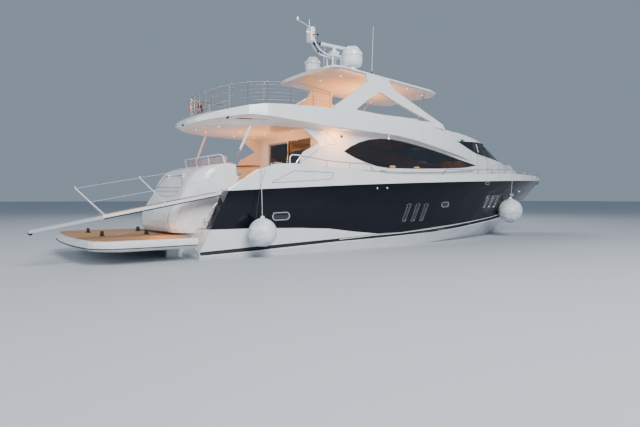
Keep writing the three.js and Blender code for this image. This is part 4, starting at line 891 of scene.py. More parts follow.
# Teak
FLY_WELL = [  # x and half width of the flybridge's floor
    (-8.45, 1.85), (-7.93, 2.16), (-7.33, 2.41), (-6.5, 2.57), (-5.6, 2.65), (-4.6, 2.68), (-3.4, 2.67),
    (-2.4, 2.65), (-1.39, 2.62), (-0.4, 2.59), (0.5, 2.54), (1.4, 2.45), (2.1, 2.37), (2.55, 1.5),
]
PLATFORM_EDGE = [  # x and half width of the platform's top, from its forward edge aft
    (-10.07, 2.93), (-12.35, 2.93), (-12.72, 2.82), (-12.98, 2.52), (-13.07, 2.13), (-13.13, 1.36),
    (-13.19, 0.67), (-13.21, 0.0),
]
PLATFORM_Z, COCKPIT_Z = 0.72, 2.38  # the floors that the stairs join
TREADS = 7
TREAD_RUN = 1.4996 / TREADS
GANGWAY_SEAT = 1.6  # from this height up the gangway's base takes the place of the starboard treads


def planked(name, half, height, body, inset):
    """Laid teak inside an outline that is the same on both sides; half lists x and half width."""
    piece = outline_face([(x, -y) for x, y in half] + [(x, y) for x, y in reversed(half) if y > 0])
    edit(piece)
    bpy.ops.mesh.inset(thickness=inset)
    bpy.ops.mesh.select_all(action="INVERT")
    bpy.ops.mesh.delete(type="FACE")
    close()
    thicken(piece, 0.008, 0.002, 1)
    piece.location = (0, 0, height)
    settle(piece, name, "teak", body)


def treads():
    for i in range(TREADS):
        height = PLATFORM_Z + (COCKPIT_Z - PLATFORM_Z) * (i + 1) / (TREADS + 1)
        aft = -9.7 + TREAD_RUN * i
        for side, name in SIDES:
            if side < 0 and height > GANGWAY_SEAT:
                continue
            y0, y1 = sorted((side * 1.93, side * 2.52))
            tread = block((aft + 0.03, y0, height), (aft + TREAD_RUN - 0.01, y1, height + 0.012), 0.003, 1)
            settle(tread, "tread_%s_%d" % (name, i), "teak")


INDOORS = 3.6  # a height between the saloon's floor and its ceiling
OVER_DECK = 4.2  # a height over every part of the open deck


def under(node, x, y, top=OVER_DECK):
    """Where a node's surface is under a point."""
    return NODES[node].ray_cast((x, y, top), DOWNWARD)[1]


def strip(rows, across, thickness):
    """A covering laid over rows of x, the y of both edges, and z."""
    sheet = grid(len(rows) - 1, across)
    for vertex in sheet.data.vertices:
        x, y0, y1, z = rows[round((vertex.co.x + 1) / 2 * (len(rows) - 1))]
        vertex.co = (x, y0 + (y1 - y0) * (vertex.co.y + 1) / 2, z + 0.001)
    return thicken(face_up(sheet), thickness)


def side_deck_teak():
    # Planks along each side deck from the cockpit to the foredeck, between the house and the bulwark
    for side, name in SIDES:
        rows = []
        for x in [-4.7 + 0.4 * k for k in range(36)]:
            z = under("deck", x, side * 2.7 if x < 6 else side * 1.9, INDOORS).z
            inner = NODES["deckhouse"].ray_cast((x, side * 6, z + 0.12), (0, -side, 0))
            outer = NODES["bulwark_" + name].ray_cast((x, side * 0.05, z + 0.06), (0, side, 0))
            if inner[0] and outer[0] and inner[1].y * side >= 0:
                rows.append((x, inner[1].y + side * 0.05, outer[1].y - side * 0.05, z))
        settle(strip(rows, 1, 0.008), "teak_side_deck_" + name, "teak")


def cockpit_teak():
    sole = plate(corners((-8.15, -2.4), (-4.96, 2.4)), 0.008, 0.003)
    sole.location = (0, 0, COCKPIT_Z + 0.001)
    settle(sole, "teak_cockpit", "teak")


planked("teak_fly", FLY_WELL, FLY_Z + 0.001, "hull", 0.05)
planked("teak_platform", PLATFORM_EDGE, 0.7205, "platform", 0.16)
treads()
side_deck_teak()
cockpit_teak()


# Lamps, vents and other small fittings that repeat
def nearest(node, point):
    """The nearest spot on a node's surface, and the way it faces."""
    return NODES[node].closest_point_on_mesh(point)[1:3]


def scattered(patterns, rows, body="hull"):
    """Copies of settled pieces; each row is the end of their names and where they go, as a matrix."""
    for ending, matrix in rows:
        for pattern in patterns:
            copy_of(pattern, pattern.name + "_" + ending, matrix, body)
    for pattern in patterns:
        bpy.data.objects.remove(pattern)


def downlight(radius):
    """A round lamp at the origin: its bezel and its lens."""
    bezel = [(radius, 0.0), (radius, 0.005), (radius * 0.86, 0.009), (radius * 0.78, 0.005)]
    lens = [(radius * 0.76, 0.0), (radius * 0.76, 0.006), (radius * 0.4, 0.009), (radius * 0.1, 0.0095)]
    return [settle(turned(bezel), "lamp_bezel", "stainless"), settle(turned(lens), "lamp_lens", "warm")]


OVERHANG_LAMPS = [  # x and y
    (-8.77, 0.24), (-8.18, 0.7), (-6.65, 1.4), (-8.43, -1.00), (-7.12, -0.06), (-6.04, -0.08),
    (-5.88, -0.58), (-5.68, -1.47), (-5.51, -2.29), (-5.68, 1.47), (-5.51, 2.29),
]
HARDTOP_LAMPS = [
    (-3.21, 0.11), (-3.07, -1.1), (-1.09, -1.7), (0.2, -1.66), (1.36, -0.22), (1.49, -1.36),
    (-1.42, 1.66), (0.9, 1.5),
]


def ceiling_lamps():
    rows = []
    for node, floor, spots in (("flybridge", INDOORS, OVERHANG_LAMPS), ("hardtop", 6.2, HARDTOP_LAMPS)):
        for i, (x, y) in enumerate(spots):
            hit, place, normal, _ = NODES[node].ray_cast((x, y, floor), UPWARD)
            if hit:
                rows.append(("%s_%d" % (node, i), facing(place, normal)))
    for i, x in enumerate((-3.8, -2.4, -1.0, 0.4, 1.8)):
        for side, name in SIDES:
            place = NODES["flybridge"].ray_cast((x, side * 1.1, INDOORS), UPWARD)[1]
            rows.append(("saloon_%d_%s" % (i, name), facing(place, DOWNWARD)))
    scattered(downlight(0.055), rows)


def side_lamps():
    rows = []
    for i, (x, z) in enumerate([(-5.01, 3.88), (-1.62, 4.36)]):
        for side, name in SIDES:
            rows.append(("side_%d_%s" % (i, name), facing(*on_side("deckhouse", x, z, side))))
    scattered(downlight(0.05), rows)
    vent = settle(plate(stadium(0.16, 0.07), 0.012, 0.004), "lip_vent", "dark")
    places = [("stbd", (-8.52, -1.89, 4.66)), ("port", (-8.52, 1.89, 4.66)), ("aft", (-9.4, -0.1, 4.52))]
    scattered([vent], [(name, facing(*nearest("flybridge", place), (0, 1, 0))) for name, place in places])


def speakers():
    rim = turned([(0.085, 0.0), (0.085, 0.006), (0.075, 0.01), (0.066, 0.006)], sides=32)
    settle(rim, "speaker_rim", "gelcoat_white")
    grille = turned([(0.065, 0.0), (0.065, 0.005), (0.045, 0.008), (0.02, 0.007), (0.012, 0.012)], sides=32)
    settle(grille, "speaker_grille", "dark")
    rows = [(name, facing(*on_side("deckhouse", -4.07, 4.26, side))) for side, name in SIDES]
    scattered([rim, grille], rows)


def house_rails():
    for side, name in SIDES:
        place, normal = on_side("helm_door_" + name, 5.28, 3.45, side)
        x, y, z = place + normal * 0.002
        out = y + side * 0.05
        handle = tube([(x, y, z - 0.1), (x, out, z - 0.08), (x, out, z + 0.08), (x, y, z + 0.1)], 0.01)
        settle(handle, "helm_door_handle_" + name, "stainless")
        bends = [(-6.49, 2.38), (-6.49, 3.36), (-6.4, 3.45), (-6.08, 3.45), (-5.99, 3.36), (-5.99, 2.38)]
        grab = tube([(x, side * 2.6, z) for x, z in bends], 0.022, soft=False, sides=4)
        settle(grab, "grab_rail_" + name, "gelcoat_white")
        feet = ((-3.9, 3.02), (-2.0, 2.99), (0.0, 3.02), (2.0, 3.1), (4.0, 3.22))
        low = [on_side("deckhouse", x, z, side)[0] for x, z in feet]
        rail = tube([tuple(place + Vector((0, side * 0.06, 0))) for place in low], 0.014)
        settle(rail, "house_rail_" + name, "stainless")


# Windscreen: bars between the panes and wipers
def on_screen(x, y, off):
    """A point on the windscreen over x and y."""
    hit, place, normal, _ = NODES["windscreen"].ray_cast((x, y, 6.5), DOWNWARD)
    return tuple(place + normal * off) if hit else None


def windscreen():
    for i, y in enumerate((-0.86, 0.0, 0.86)):
        spots = [on_screen(5.9 + 0.1 * k, y, 0.002) for k in range(33)]
        settle(rod([p for p in spots if p and p[2] < 4.72], 0.018), "screen_bar_%d" % i, "dark")
    for i, y in enumerate((-1.05, -0.3, 0.5)):
        arm = [on_screen(x, y + (8.55 - x) * 0.22, 0.035) for x in (8.45, 8.0, 7.5)]
        blade = [on_screen(x, y + 0.12 + (8.2 - x) * 0.3, 0.012) for x in (8.25, 7.9, 7.5, 7.1)]
        if all(arm) and all(blade):
            settle([tube(arm, 0.011), tube(blade, 0.013)], "wiper_%d" % i, "dark")


ceiling_lamps()
side_lamps()
speakers()
house_rails()
windscreen()


# Flybridge: rails, screen, helm, bar and what stands on the hardtop
FLY_RAIL = [  # x, half width, foot and top of the aft rail
    (-4.85, 2.76, 5.212, 5.78), (-5.6, 2.76, 5.215, 5.867), (-6.5, 2.69, 5.19, 5.921),
    (-7.33, 2.5, 5.16, 5.915), (-7.93, 2.22, 5.08, 5.87), (-8.33, 1.83, 4.985, 5.82),
    (-8.53, 1.35, 4.943, 5.796), (-8.6, 0.8, 4.926, 5.784), (-8.62, 0.27, 4.92, 5.78),
]
RUN = [(x, -y, *rest) for x, y, *rest in FLY_RAIL] + FLY_RAIL[::-1]


def fly_rail():
    wires = []
    for part in (0.17, 0.5, 0.84):
        wires.append(tube([(x, y, foot + (top - foot) * part) for x, y, foot, top in RUN], 0.005, sides=2))
    settle(wires, "fly_rail_wires", "stainless")
    feet = [rod([(x, y, top - 0.03), (x, y, top + 0.022)], 0.017) for x, y, _, top in RUN]
    for x, y, foot, _ in RUN:
        feet.append(turned([(0.035, foot - 0.004), (0.035, foot + 0.012), (0.018, foot + 0.03)], (x, y, 0)))
    settle(feet, "fly_rail_feet", "stainless")
    twins = []
    for i in (3, 5, 12, 14):
        x, y, foot, top = RUN[i]
        ahead = Vector(RUN[i + 1][:2]) - Vector((x, y))
        part = 0.11 / ahead.length
        x, y, high = x + ahead.x * part, y + ahead.y * part, top + (RUN[i + 1][3] - top) * part
        twins.append(rod([(x, y, foot - 0.02), (x, y, high)], 0.014))
    settle(twins, "fly_rail_twin_posts", "stainless")


def horseshoe_buoys():
    # Horseshoe buoys strapped inside the aft rail
    turn = [radians(-60 + 15 * k) for k in range(21)]
    hoop = tube([(0.2 * cos(a), 0.23 * sin(a), 0) for a in turn], 0.055, sides=4)
    edit(hoop)
    bpy.ops.transform.resize(value=(1, 1, 0.8))
    close()
    settle(hoop, "buoy_cover", "dark_red")
    loops = [[(x, y, z) for x, z in corners((0.16, -0.05), (0.25, 0.05))] for y in (-0.1, 0.1)]
    straps = settle([tube(loop, 0.008, True, soft=False) for loop in loops], "buoy_strap", "dark")
    rows = (("aft", (-7.8, 2.12, 5.5), (-0.7, 0.6, 0)), ("mid", (-5.7, 2.66, 5.55), (0, 1, 0)))
    scattered([hoop, straps], [(name, facing(place, out, UPWARD)) for name, place, out in rows])


DEFLECTOR = [  # half of the wind deflector's top edge
    (1.42, 2.45, 5.2), (1.85, 2.36, 5.29), (2.35, 2.05, 5.33), (2.66, 1.5, 5.35), (2.78, 0.8, 5.36),
    (2.8, 0.0, 5.36),
]


def whole(half):
    """Both halves of a run across the boat, from half of it that ends on the centreline."""
    return [(x, -y, z) for x, y, z in half] + half[-2::-1]


def deflector_rail():
    run = whole([(x - 0.127, y * 0.93 - 0.007, z + 0.012) for x, y, z in DEFLECTOR])
    settle(tube(run, 0.017), "deflector_rail", "stainless")
    posts = []
    for x, y, z in run[1:-1:2]:
        foot = under("flybridge", x - 0.1, y * 0.96, 6.0)
        posts.append(rod([(x - 0.01, y * 0.995, z), tuple(foot)], 0.011))
    settle(posts, "deflector_posts", "stainless")


def fly_helm():
    slope = (-0.498, 0, 0.867)
    screen = settle(plate(oblong(0.14, 0.19, 0.02), 0.014, 0.004), "fly_screen", "port_glass")
    places = (("port", (1.7, 1.06, 5.288)), ("stbd", (1.7, 0.58, 5.288)))
    scattered([screen], [(name, facing(place, slope)) for name, place in places])
    dial = [
        turned([(0.045, 0.0), (0.045, 0.012), (0.038, 0.014), (0.036, 0.008)]),
        turned([(0.008, 0.004), (0.006, 0.012)]),
    ]
    dials = [("%d" % i, facing((1.58, 0.72 + 0.1 * i, 5.219), slope)) for i in range(3)]
    scattered([settle(dial, "fly_dial", "dark")], dials)
    wheel = [rod([(0, 0, -0.03), (0.17 * cos(a), 0.17 * sin(a), -0.002)], 0.009) for a in (0.52, 2.62, 4.71)]
    wheel.append(turned([(0.04, -0.05), (0.045, -0.03), (0.03, -0.012), (0.01, -0.01)]))
    wheel += [rod([(0, 0, -0.04), (0, 0, -0.22)], 0.022), tube(oval(0.19, 0.19, 20), 0.014, True)]
    places = (("fly", (1.42, 0.82, 5.1), (-0.94, 0, 0.34)), ("saloon", (6.34, -0.44, 3.5), (-0.9, 0, 0.43)))
    places = [(name, facing(place, out)) for name, place, out in places]
    scattered([settle(wheel, "wheel", "stainless")], places)
    levers = []
    for y in (1.24, 1.29):
        levers.append(tube([(1.62, y, 5.24), (1.6, y, 5.36)], 0.009))
        levers.append(turned([(0.01, 5.35), (0.022, 5.37), (0.012, 5.39)], (1.6, y, 0), sides=12))
    settle(levers, "fly_levers", "stainless")


def fly_bar():
    top = plate(rounded(corners((-3.69, 1.28), (-1.31, 2.1)), 0.14), 0.02, 0.006)
    settle(stand(top, (0, 0, 5.562), UPWARD), "fly_bar_top", "teak")
    sink = (-3.2, 1.7, 5.582)
    basin = ring_of(oblong(0.2, 0.16, 0.05), 0.02, 0.012, 0.004)
    settle(stand(basin, sink, UPWARD), "fly_sink_rim", "stainless")
    # The bowl is a flat dark plate laid in the rim: painted shade standing in for the sink's hollow, which is
    # not cut
    bowl = plate(oblong(0.18, 0.14, 0.05), 0.004, 0.001)
    settle(stand(bowl, sink, UPWARD), "fly_sink_bowl", "dark_bowl")
    tap = tube([(-3.2, 1.93, 5.58), (-3.2, 1.93, 5.78), (-3.2, 1.85, 5.86), (-3.2, 1.76, 5.8)], 0.012)
    settle(tap, "fly_tap", "stainless")
    bars = [rod([(-2.5 + 0.06 * i, y, 5.606) for y in (1.46, 1.94)], 0.006) for i in range(12)]
    settle([block((-2.55, 1.42, 5.58), (-1.75, 1.98, 5.6), 0.008)] + bars, "fly_grill", "stainless")
    starts = [0.62 * i for i in range(3)]
    doors = [block((x - 3.45, 1.328, 4.72), (x - 2.87, 1.345, 5.42), 0.006) for x in starts]
    settle(doors, "fly_bar_doors", "gelcoat_white")
    bow = ((1.325, 5.0), (1.3, 5.02), (1.3, 5.18), (1.325, 5.2))
    settle([tube([(x - 2.95, y, z) for y, z in bow], 0.006) for x in starts], "fly_bar_pulls", "stainless")


# Hardtop and mast
def hardtop_gear():
    panel = ring_of(oblong(1.0, 0.95, 0.12), 0.06, 0.02, 0.006)
    settle(stand(panel, (-0.35, 0, 6.955), (0.062, 0, 1)), "hardtop_hatch_rim", "gelcoat_white")
    for name, x, y, r, top in (("large", -2.5, -1.15, 0.44, 8.23), ("small", -2.98, 1.0, 0.34, 8.18)):
        girth = oval(r + 0.001, r + 0.001, 28, (x, y, top - r))
        settle(tube(girth, 0.005, True), "dome_seam_" + name, "seam")
        spots = oval(r * 0.8, r * 0.8, 8, (x, y, top - 1.9 * r))
        rows = [(0.014, 0.0), (0.014, 0.008), (0.008, 0.012)]
        settle([turned(rows, spot, DOWNWARD, 8) for spot in spots], "dome_bolts_" + name, "stainless")
    for side, name in SIDES:
        foot = under("hardtop", -1.9, side * 1.7, 8)
        base = turned([(0.05, 0.0), (0.05, 0.02), (0.026, 0.04), (0.02, 0.16), (0.012, 0.2)], foot)
        settle(base, "aerial_foot_" + name, "dark")
        whip = turned([(0.01, 0.19), (0.009, 1.0), (0.007, 2.23), (0.004, 2.25)], foot, (0.04, 0, 1), 8)
        settle(whip, "aerial_" + name, "gelcoat_white")
        seam = block((-2.75, side * 0.12 - 0.02, 8.12), (-2.35, side * 0.12 + 0.02, 8.135), 0.004)
        settle(seam, "pedestal_seam_" + name, "seam")
    horns = []
    for y, long in ((-0.09, 0.42), (0.09, 0.34)):
        rows = [(0.02, 0.0), (0.02, 0.06), (0.012, 0.08), (0.016, long * 0.6), (0.03, long * 0.85)]
        rows += [(0.055, long), (0.045, long - 0.004), (0.01, long * 0.7)]
        horns.append(turned(rows, (-3.52, y, 8.42), (0.55, 0, -0.83), 20))
    horns.append(block((-3.6, -0.14, 8.4), (-3.5, 0.14, 8.47), 0.012))
    settle(horns, "horns", "dark")
    settle(tube(oval(0.092, 0.092, 20, (-2.55, 0, 8.35)), 0.006, True), "radar_collar", "seam")
    tips = (-2.55 - 0.762, -2.55 + 0.762)
    caps = [block((x - 0.012, -0.072, 8.412), (x + 0.012, 0.072, 8.518), 0.006) for x in tips]
    settle(caps, "radar_end_caps", "seam", "radar")


MAST_LAMPS = [  # place, the way it points, glass, name
    ((-3.79, -0.194, 8.9), (0, -1, 0), "clear", "mast_side_a"),
    ((-3.79, -0.194, 8.7), (0, -1, 0), "red", "mast_side_b"),
    ((-3.904, 0.0, 8.85), (-1, 0, 0), "clear", "mast_aft"),
    ((-3.676, 0.0, 8.95), (1, 0, 0), "clear", "mast_fwd"),
    ((-3.6, 0.06, 9.02), (0, 0, 1), "dark_lens", "mast_top_a"),
    ((-3.46, 0.02, 8.8), (0.8, 0, 0.6), "dark_lens", "mast_top_b"),
]


def mast_lamps():
    arms = [[(-3.7, 0.06, 9.0), (-3.6, 0.06, 9.0)], [(-3.7, 0.02, 8.74), (-3.47, 0.02, 8.78)]]
    settle([rod(arm, 0.012) for arm in arms], "mast_arms", "gelcoat_white")
    rows = [(0.042, 0.0), (0.042, 0.012), (0.034, 0.016), (0.036, 0.075), (0.026, 0.09), (0.006, 0.094)]
    for place, out, kind, name in MAST_LAMPS:
        settle(turned(rows, place, out, 16), name, kind)


def side_lights():
    for (side, name), kind in zip(SIDES, ("green", "red")):
        place, normal = on_side("flybridge", 3.05, 4.55, side)
        outline = rounded([(-0.16, -0.055), (0.16, -0.055), (0.12, 0.055), (-0.12, 0.055)], 0.02)
        box = stand(plate(outline, 0.05, 0.012), place - normal * 0.004, normal)
        settle(box, "side_light_box_" + name, "dark")
        lens = stand(plate(stadium(0.13, 0.06), 0.03, 0.012), place + normal * 0.042, normal)
        settle(lens, "side_light_" + name, kind)


fly_rail()
horseshoe_buoys()
deflector_rail()
fly_helm()
fly_bar()
hardtop_gear()
mast_lamps()
side_lights()


# Stern: transom rail, handrails, platform edge and gangway
POCKET = [(1.05, 2.33), (-1.2, 2.29), (-1.02, 2.17), (-0.45, 2.12), (0.35, 2.14), (0.85, 2.21)]  # y and z


def transom():
    rail = [(1.2, 2.44), (0.6, 2.44), (0.0, 2.43), (-0.6, 2.42), (-1.25, 2.41)]
    spots = [nearest("garage_door", (-10.2, y, z)) for y, z in rail]
    bar = [tube([tuple(p + n * 0.055) for p, n in spots], 0.015)]
    bar += [rod([tuple(p - n * 0.003), tuple(p + n * 0.055)], 0.011) for p, n in spots[::2]]
    settle(bar, "transom_rail", "stainless", "garage_door")
    # A grey bead traced round the shallow pocket for a hand under the rail: painted shade along the pocket's
    # rim
    spots = [nearest("garage_door", (-10.3, y, z)) for y, z in stepped(POCKET, 4)]
    pocket = tube([tuple(p + n * 0.001) for p, n in spots], 0.007, True, sides=1)
    settle(pocket, "transom_pocket_painted_shade", "seam", "garage_door")
    rim = stepped(corners((-1.385, 0.81), (1.385, 2.705)), 14)
    seal = [tuple(nearest("transom", (-10.9, y, z))[0]) for y, z in rim]
    settle(tube(seal, 0.007, True, soft=False, sides=1), "garage_seal", "seam")


def rails_aft():
    # The rail round the seat back, and a handrail up each quarter
    path = [
        (-8.55, 1.7, 3.09), (-8.62, 1.7, 3.36), (-8.66, 1.6, 3.42), (-8.66, 0.5, 3.42),
        (-8.66, -1.55, 3.42), (-8.62, -1.7, 3.36), (-8.55, -1.7, 3.09),
    ]
    posts = [rod([(-8.66, y, 3.42), (-8.6, y, 3.09)], 0.014) for y in (-0.55, 0.55)]
    settle([tube(path, 0.02, soft=False, sides=4)] + posts, "seat_rail", "gelcoat_white")
    bends = ((-9.62, 1.06), (-9.66, 1.22), (-9.58, 1.34), (-9.26, 1.72), (-9.18, 1.78), (-9.1, 1.7))
    for side, name in SIDES:
        settle(tube([(x, side * 2.5, z) for x, z in bends], 0.014), "quarter_rail_" + name, "stainless")


STRIP = [  # x and half width of the rubber round the platform
    (-10.08, 3.025), (-12.34, 3.025), (-12.66, 2.97), (-12.92, 2.78), (-13.1, 2.5), (-13.16, 2.2),
    (-13.2, 1.36), (-13.26, 0.67), (-13.285, 0.0),
]


def platform_edge():
    # A black rubber strip let into the platform's edge, and chocks for a tender
    half = []
    for x, y in STRIP:
        place = nearest("swim_platform", (x - 0.2 if x < -12.4 else x, y + 0.2, 0.5))[0]
        half.append((place.x, abs(place.y), 0.5))
    half[-1] = (half[-1][0], 0.0, 0.5)
    settle(tube(whole(half), 0.014, sides=2), "platform_rubber", "rubber", "platform")
    chock = [block((-0.16, -0.05, 0), (0.16, 0.05, 0.03), 0.008)]
    for x in (-0.1, 0.03):
        chock.append(block((x, -0.035, 0.03), (x + 0.07, 0.035, 0.16), 0.015))
    rows = (("a", -10.6, 1.3), ("b", -10.9, -0.65), ("c", -12.3, 1.3), ("d", -12.3, -0.65))
    places = [(name, facing((x, y, 0.728), UPWARD, (0, 1, 0))) for name, x, y in rows]
    scattered([settle(chock, "chock", "dark")], places, "platform")
    hatch = ring_of(rounded(corners((-11.9, -0.35), (-11.2, 0.35)), 0.05), 0.012, 0.004, 0.001)
    hatch.location = (0, 0, 0.7275)
    settle(hatch, "platform_hatch_rim", "stainless", "platform")


TILT = radians(10.7)  # the gangway's slope
GANGWAY_FOOT = (-8.8, -2.23, 2.11)  # where it is hinged


def on_gangway(u, v, w):
    """A point u along the gangway, v across it and w above it."""
    x, y, z = GANGWAY_FOOT
    return (x - u * cos(TILT) - w * sin(TILT), y + v, z - u * sin(TILT) + w * cos(TILT))


def laid_along(piece):
    """Brings a piece made flat along x onto the gangway."""
    for vertex in piece.data.vertices:
        vertex.co = on_gangway(*vertex.co)
    return piece


def gangway_gear():
    posts = (0.27, 2.09, 3.88)
    tops = [on_gangway(u + 0.62, -0.18, 0.935) for u in posts]
    low = [on_gangway(u + 0.31, -0.18, 0.49) for u in posts]
    lines = [rod(tops, 0.006), rod(low, 0.006), rod([tops[-1], on_gangway(3.93, -0.17, 0.05)], 0.005)]
    settle(lines, "gangway_lines", "rope", "gangway")
    rows = [(0.012, -0.03), (0.022, -0.01), (0.022, 0.01), (0.01, 0.025)]
    settle([turned(rows, top, sides=12) for top in tops], "gangway_knobs", "stainless", "gangway")
    starts = [0.34 + 0.4 * i for i in range(9)]
    boards = joined([block((x, -0.165, 0.0665), (x + 0.388, 0.165, 0.0745), 0.002, 1) for x in starts])
    settle(laid_along(boards), "gangway_grating", "teak", "gangway")
    edge = block((0.235, -0.204, -0.064), (3.94, -0.2005, -0.028), 0.001, 1)
    settle(laid_along(edge), "gangway_rubber", "rubber", "gangway")
    rows = [(0.05, -0.12), (0.055, -0.1), (0.055, 0.1), (0.05, 0.12)]
    roller = turned(rows, on_gangway(5.79, 0, -0.06), (0, 1, 0), 16)
    settle(roller, "gangway_roller", "rubber", "gangway_inner")


def strut_sleeves():
    """The upper part of each strut under the overhang is a faired white tube; its foot stays polished."""
    for side, name in SIDES:
        top, foot = Vector((-7.54, side * 1.96, 4.75)), Vector((-8.3, side * 1.76, 2.98))
        ends = [top + (foot - top) * part for part in (0.03, 0.06, 0.6, 0.66)]
        rows = [(radius, (end - ends[0]).length) for radius, end in zip((0.028, 0.042, 0.042, 0.027), ends)]
        settle(turned(rows, ends[0], foot - top, 20), "strut_sleeve_" + name, "gelcoat_white")


strut_sleeves()
transom()
rails_aft()
platform_edge()
gangway_gear()


# Saloon and cockpit
def carpet():
    rows = []
    for x in [-4.6 + 0.4 * k for k in range(28)]:
        half = min(2.3, 2.36 - max(0.0, x - 1.5) * 0.1)
        rows.append((x, -half, half, under("deck", x, 0.02, INDOORS).z))
    settle(strip(rows, 2, 0.01), "saloon_carpet", "carpet")


def saloon_door(name, x, y0, y1, body, handle_y):
    """A glazed leaf: a polished frame round a tinted pane, with an upright handle."""
    low, top = 2.451, 4.24
    outline = oblong((y1 - y0) / 2, (top - low) / 2, 0.012, 2)
    middle = ((y0 + y1) / 2, (low + top) / 2)
    rim = stand(ring_of(outline, 0.07, 0.045, 0.004), (x, *middle), (1, 0, 0), (0, 1, 0))
    bends = ((0.001, 3.15), (0.03, 3.2), (0.03, 3.6), (0.001, 3.65))
    pull = tube([(x - out, handle_y, z) for out, z in bends], 0.011)
    leaf = settle([pull, rim], "door_%s_frame" % name, "stainless", body)
    pane = plate([(u * 0.96, v * 0.97) for u, v in outline], 0.012, 0.002, 1)
    stand(pane, (x + 0.016, *middle), (1, 0, 0), (0, 1, 0))
    settle(pane, "door_%s_pane" % name, "glass", body)
    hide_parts("saloon_door_" + name)


def door_lamps():
    rows = [(0.011, 0.0), (0.01, 0.008), (0.004, 0.012)]
    lamps = [turned(rows, (-4.9026, 0.045, 3.42 + 0.095 * k), (-1, 0, 0), 12) for k in range(9)]
    settle(lamps, "door_lamps", "warm")


def saloon_furniture():
    starts = [0.79 * i for i in range(6)]
    doors = [block((x - 3.35, -1.642, 2.6), (x - 2.6, -1.622, 3.02), 0.005) for x in starts]
    settle(doors, "cabinet_doors", "joinery")
    rows = [(0.006, 0.0), (0.006, 0.012), (0.014, 0.018), (0.012, 0.026)]
    knobs = [turned(rows, (x - 2.68, -1.622, 2.85), (0, 1, 0), 12) for x in starts]
    settle(knobs, "cabinet_knobs", "bronze")
    settle(block((-3.42, -2.15, 3.082), (1.42, -1.62, 3.1), 0.006), "cabinet_top", "joinery")
    rows = [(0.07, 0.0), (0.07, 0.012), (0.02, 0.03), (0.035, 0.12), (0.05, 0.18)]
    foot = settle(turned(rows + [(0.02, 0.24), (0.01, 0.26)]), "table_lamp_foot", "bronze")
    shade = turned([(0.085, 0.22), (0.15, 0.225), (0.11, 0.42), (0.07, 0.425)])
    settle(shade, "table_lamp_shade", "warm_shade")
    places = [(name, Matrix.Translation((x, -1.88, 3.1))) for name, x in (("aft", -0.86), ("fwd", 0.6))]
    scattered([foot, shade], places)
    screens = []
    for y in (-0.78, -0.3, 0.18):
        pane = plate(oblong(0.11, 0.2, 0.015), 0.012, 0.003)
        screens.append(stand(pane, (6.54, y, 3.415), (-0.878, 0, 0.479), (0.479, 0, 0.878)))
    settle(screens, "helm_screens", "port_glass")
    levers = []
    for y in (0.46, 0.52):
        levers.append(tube([(6.56, y, 3.45), (6.5, y, 3.56)], 0.009))
        levers.append(turned([(0.012, -0.02), (0.024, 0.0), (0.012, 0.02)], (6.5, y, 3.57), sides=12))
    settle(levers, "helm_levers", "stainless")


def cockpit_table():
    outline = [(x, y) for x, y, _ in oval(0.46, 0.95, 36)]
    top = stand(plate(outline, 0.045, 0.014, 3), (-7.25, -0.55, 3.06), UPWARD)
    settle(top, "cockpit_table_top", "joinery")
    trim = tube([(-7.25 + x * 0.86, -0.55 + y * 0.93, 3.106) for x, y in outline], 0.004, True, sides=1)
    settle(trim, "cockpit_table_inlay", "bronze")
    rows = [(0.17, 2.389), (0.17, 2.4), (0.06, 2.43), (0.05, 2.98), (0.12, 3.04), (0.12, 3.062)]
    for i, y in enumerate((-1.0, -0.1)):
        settle(turned(rows, (-7.25, y, 0)), "cockpit_table_leg_%d" % i, "stainless")


carpet()
saloon_door("fixed", -4.88, 0.01, 1.579, "hull", 0.06)
saloon_door("sliding", -4.772, 0.03, 1.58, "saloon_door", 0.075)
door_lamps()
saloon_furniture()
cockpit_table()


# Deck hardware
def cleat():
    """A horn cleat at the origin: two feet on a base, and a bar that starts over the middle."""
    rows = [(0.006, -0.19), (0.014, -0.16), (0.019, -0.08), (0.021, 0.0)]
    rows += [(radius, -end) for radius, end in rows[2::-1]]
    made = [plate(stadium(0.22, 0.07), 0.012, 0.004), turned(rows, (0, 0, 0.078), (1, 0, 0), 14)]
    rows = [(0.026, 0.01), (0.018, 0.03), (0.016, 0.055), (0.022, 0.07)]
    return settle(made + [turned(rows, (x, 0, 0), sides=14) for x in (-0.055, 0.055)], "cleat", "stainless")


def cleats():
    rows = []
    for x in (-7.4, -2.7, 4.6, 10.2):
        for side, name in SIDES:
            cap = NODES["bulwark_" + name]
            spots = [3.3 - 0.02 * k for k in range(150)]
            out = next((y for y in spots if cap.ray_cast((x, side * y, OVER_DECK), DOWNWARD)[0]), None)
            if out is not None:
                place = under("bulwark_" + name, x, side * (out - 0.07))
                rows.append(("%d_%s" % (round(x * 10), name), facing(place, UPWARD, (1, side * -0.06, 0))))
    scattered([cleat()], rows)


def windlass():
    rows = [(0.15, 0.0), (0.15, 0.03), (0.1, 0.05), (0.1, 0.1), (0.13, 0.12), (0.06, 0.16), (0.06, 0.2)]
    rows += [(0.11, 0.23), (0.1, 0.27), (0.03, 0.28)]
    drums, links = [], []
    for y in (-0.22, 0.22):
        drums.append(turned(rows, under("deck", 11.35, y), sides=28))
        for k in range(14):
            x = 11.48 + 0.062 * k
            link = tube(oval(0.03, 0.018, 8), 0.007, True, sides=1)
            place = (x, y * (1 - k * 0.035), under("deck", x, y * 0.6).z + 0.022)
            turn = Matrix.Rotation(pi / 2 if k % 2 else 0, 4, "X")
            link.data.transform(Matrix.Translation(place) @ turn)
            links.append(link)
    settle(drums, "windlasses", "stainless")
    settle(links, "anchor_chain", "stainless")
    rim = ring_of(oblong(0.3, 0.26, 0.05), 0.03, 0.018, 0.005)
    lid = plate(oblong(0.275, 0.235, 0.04), 0.022, 0.006)
    place = (10.83, 0, under("deck", 10.83, 0).z + 0.001)
    settle(stand(rim, place, UPWARD), "locker_rim", "stainless")
    settle(stand(lid, place, UPWARD), "locker_lid", "gelcoat_white")


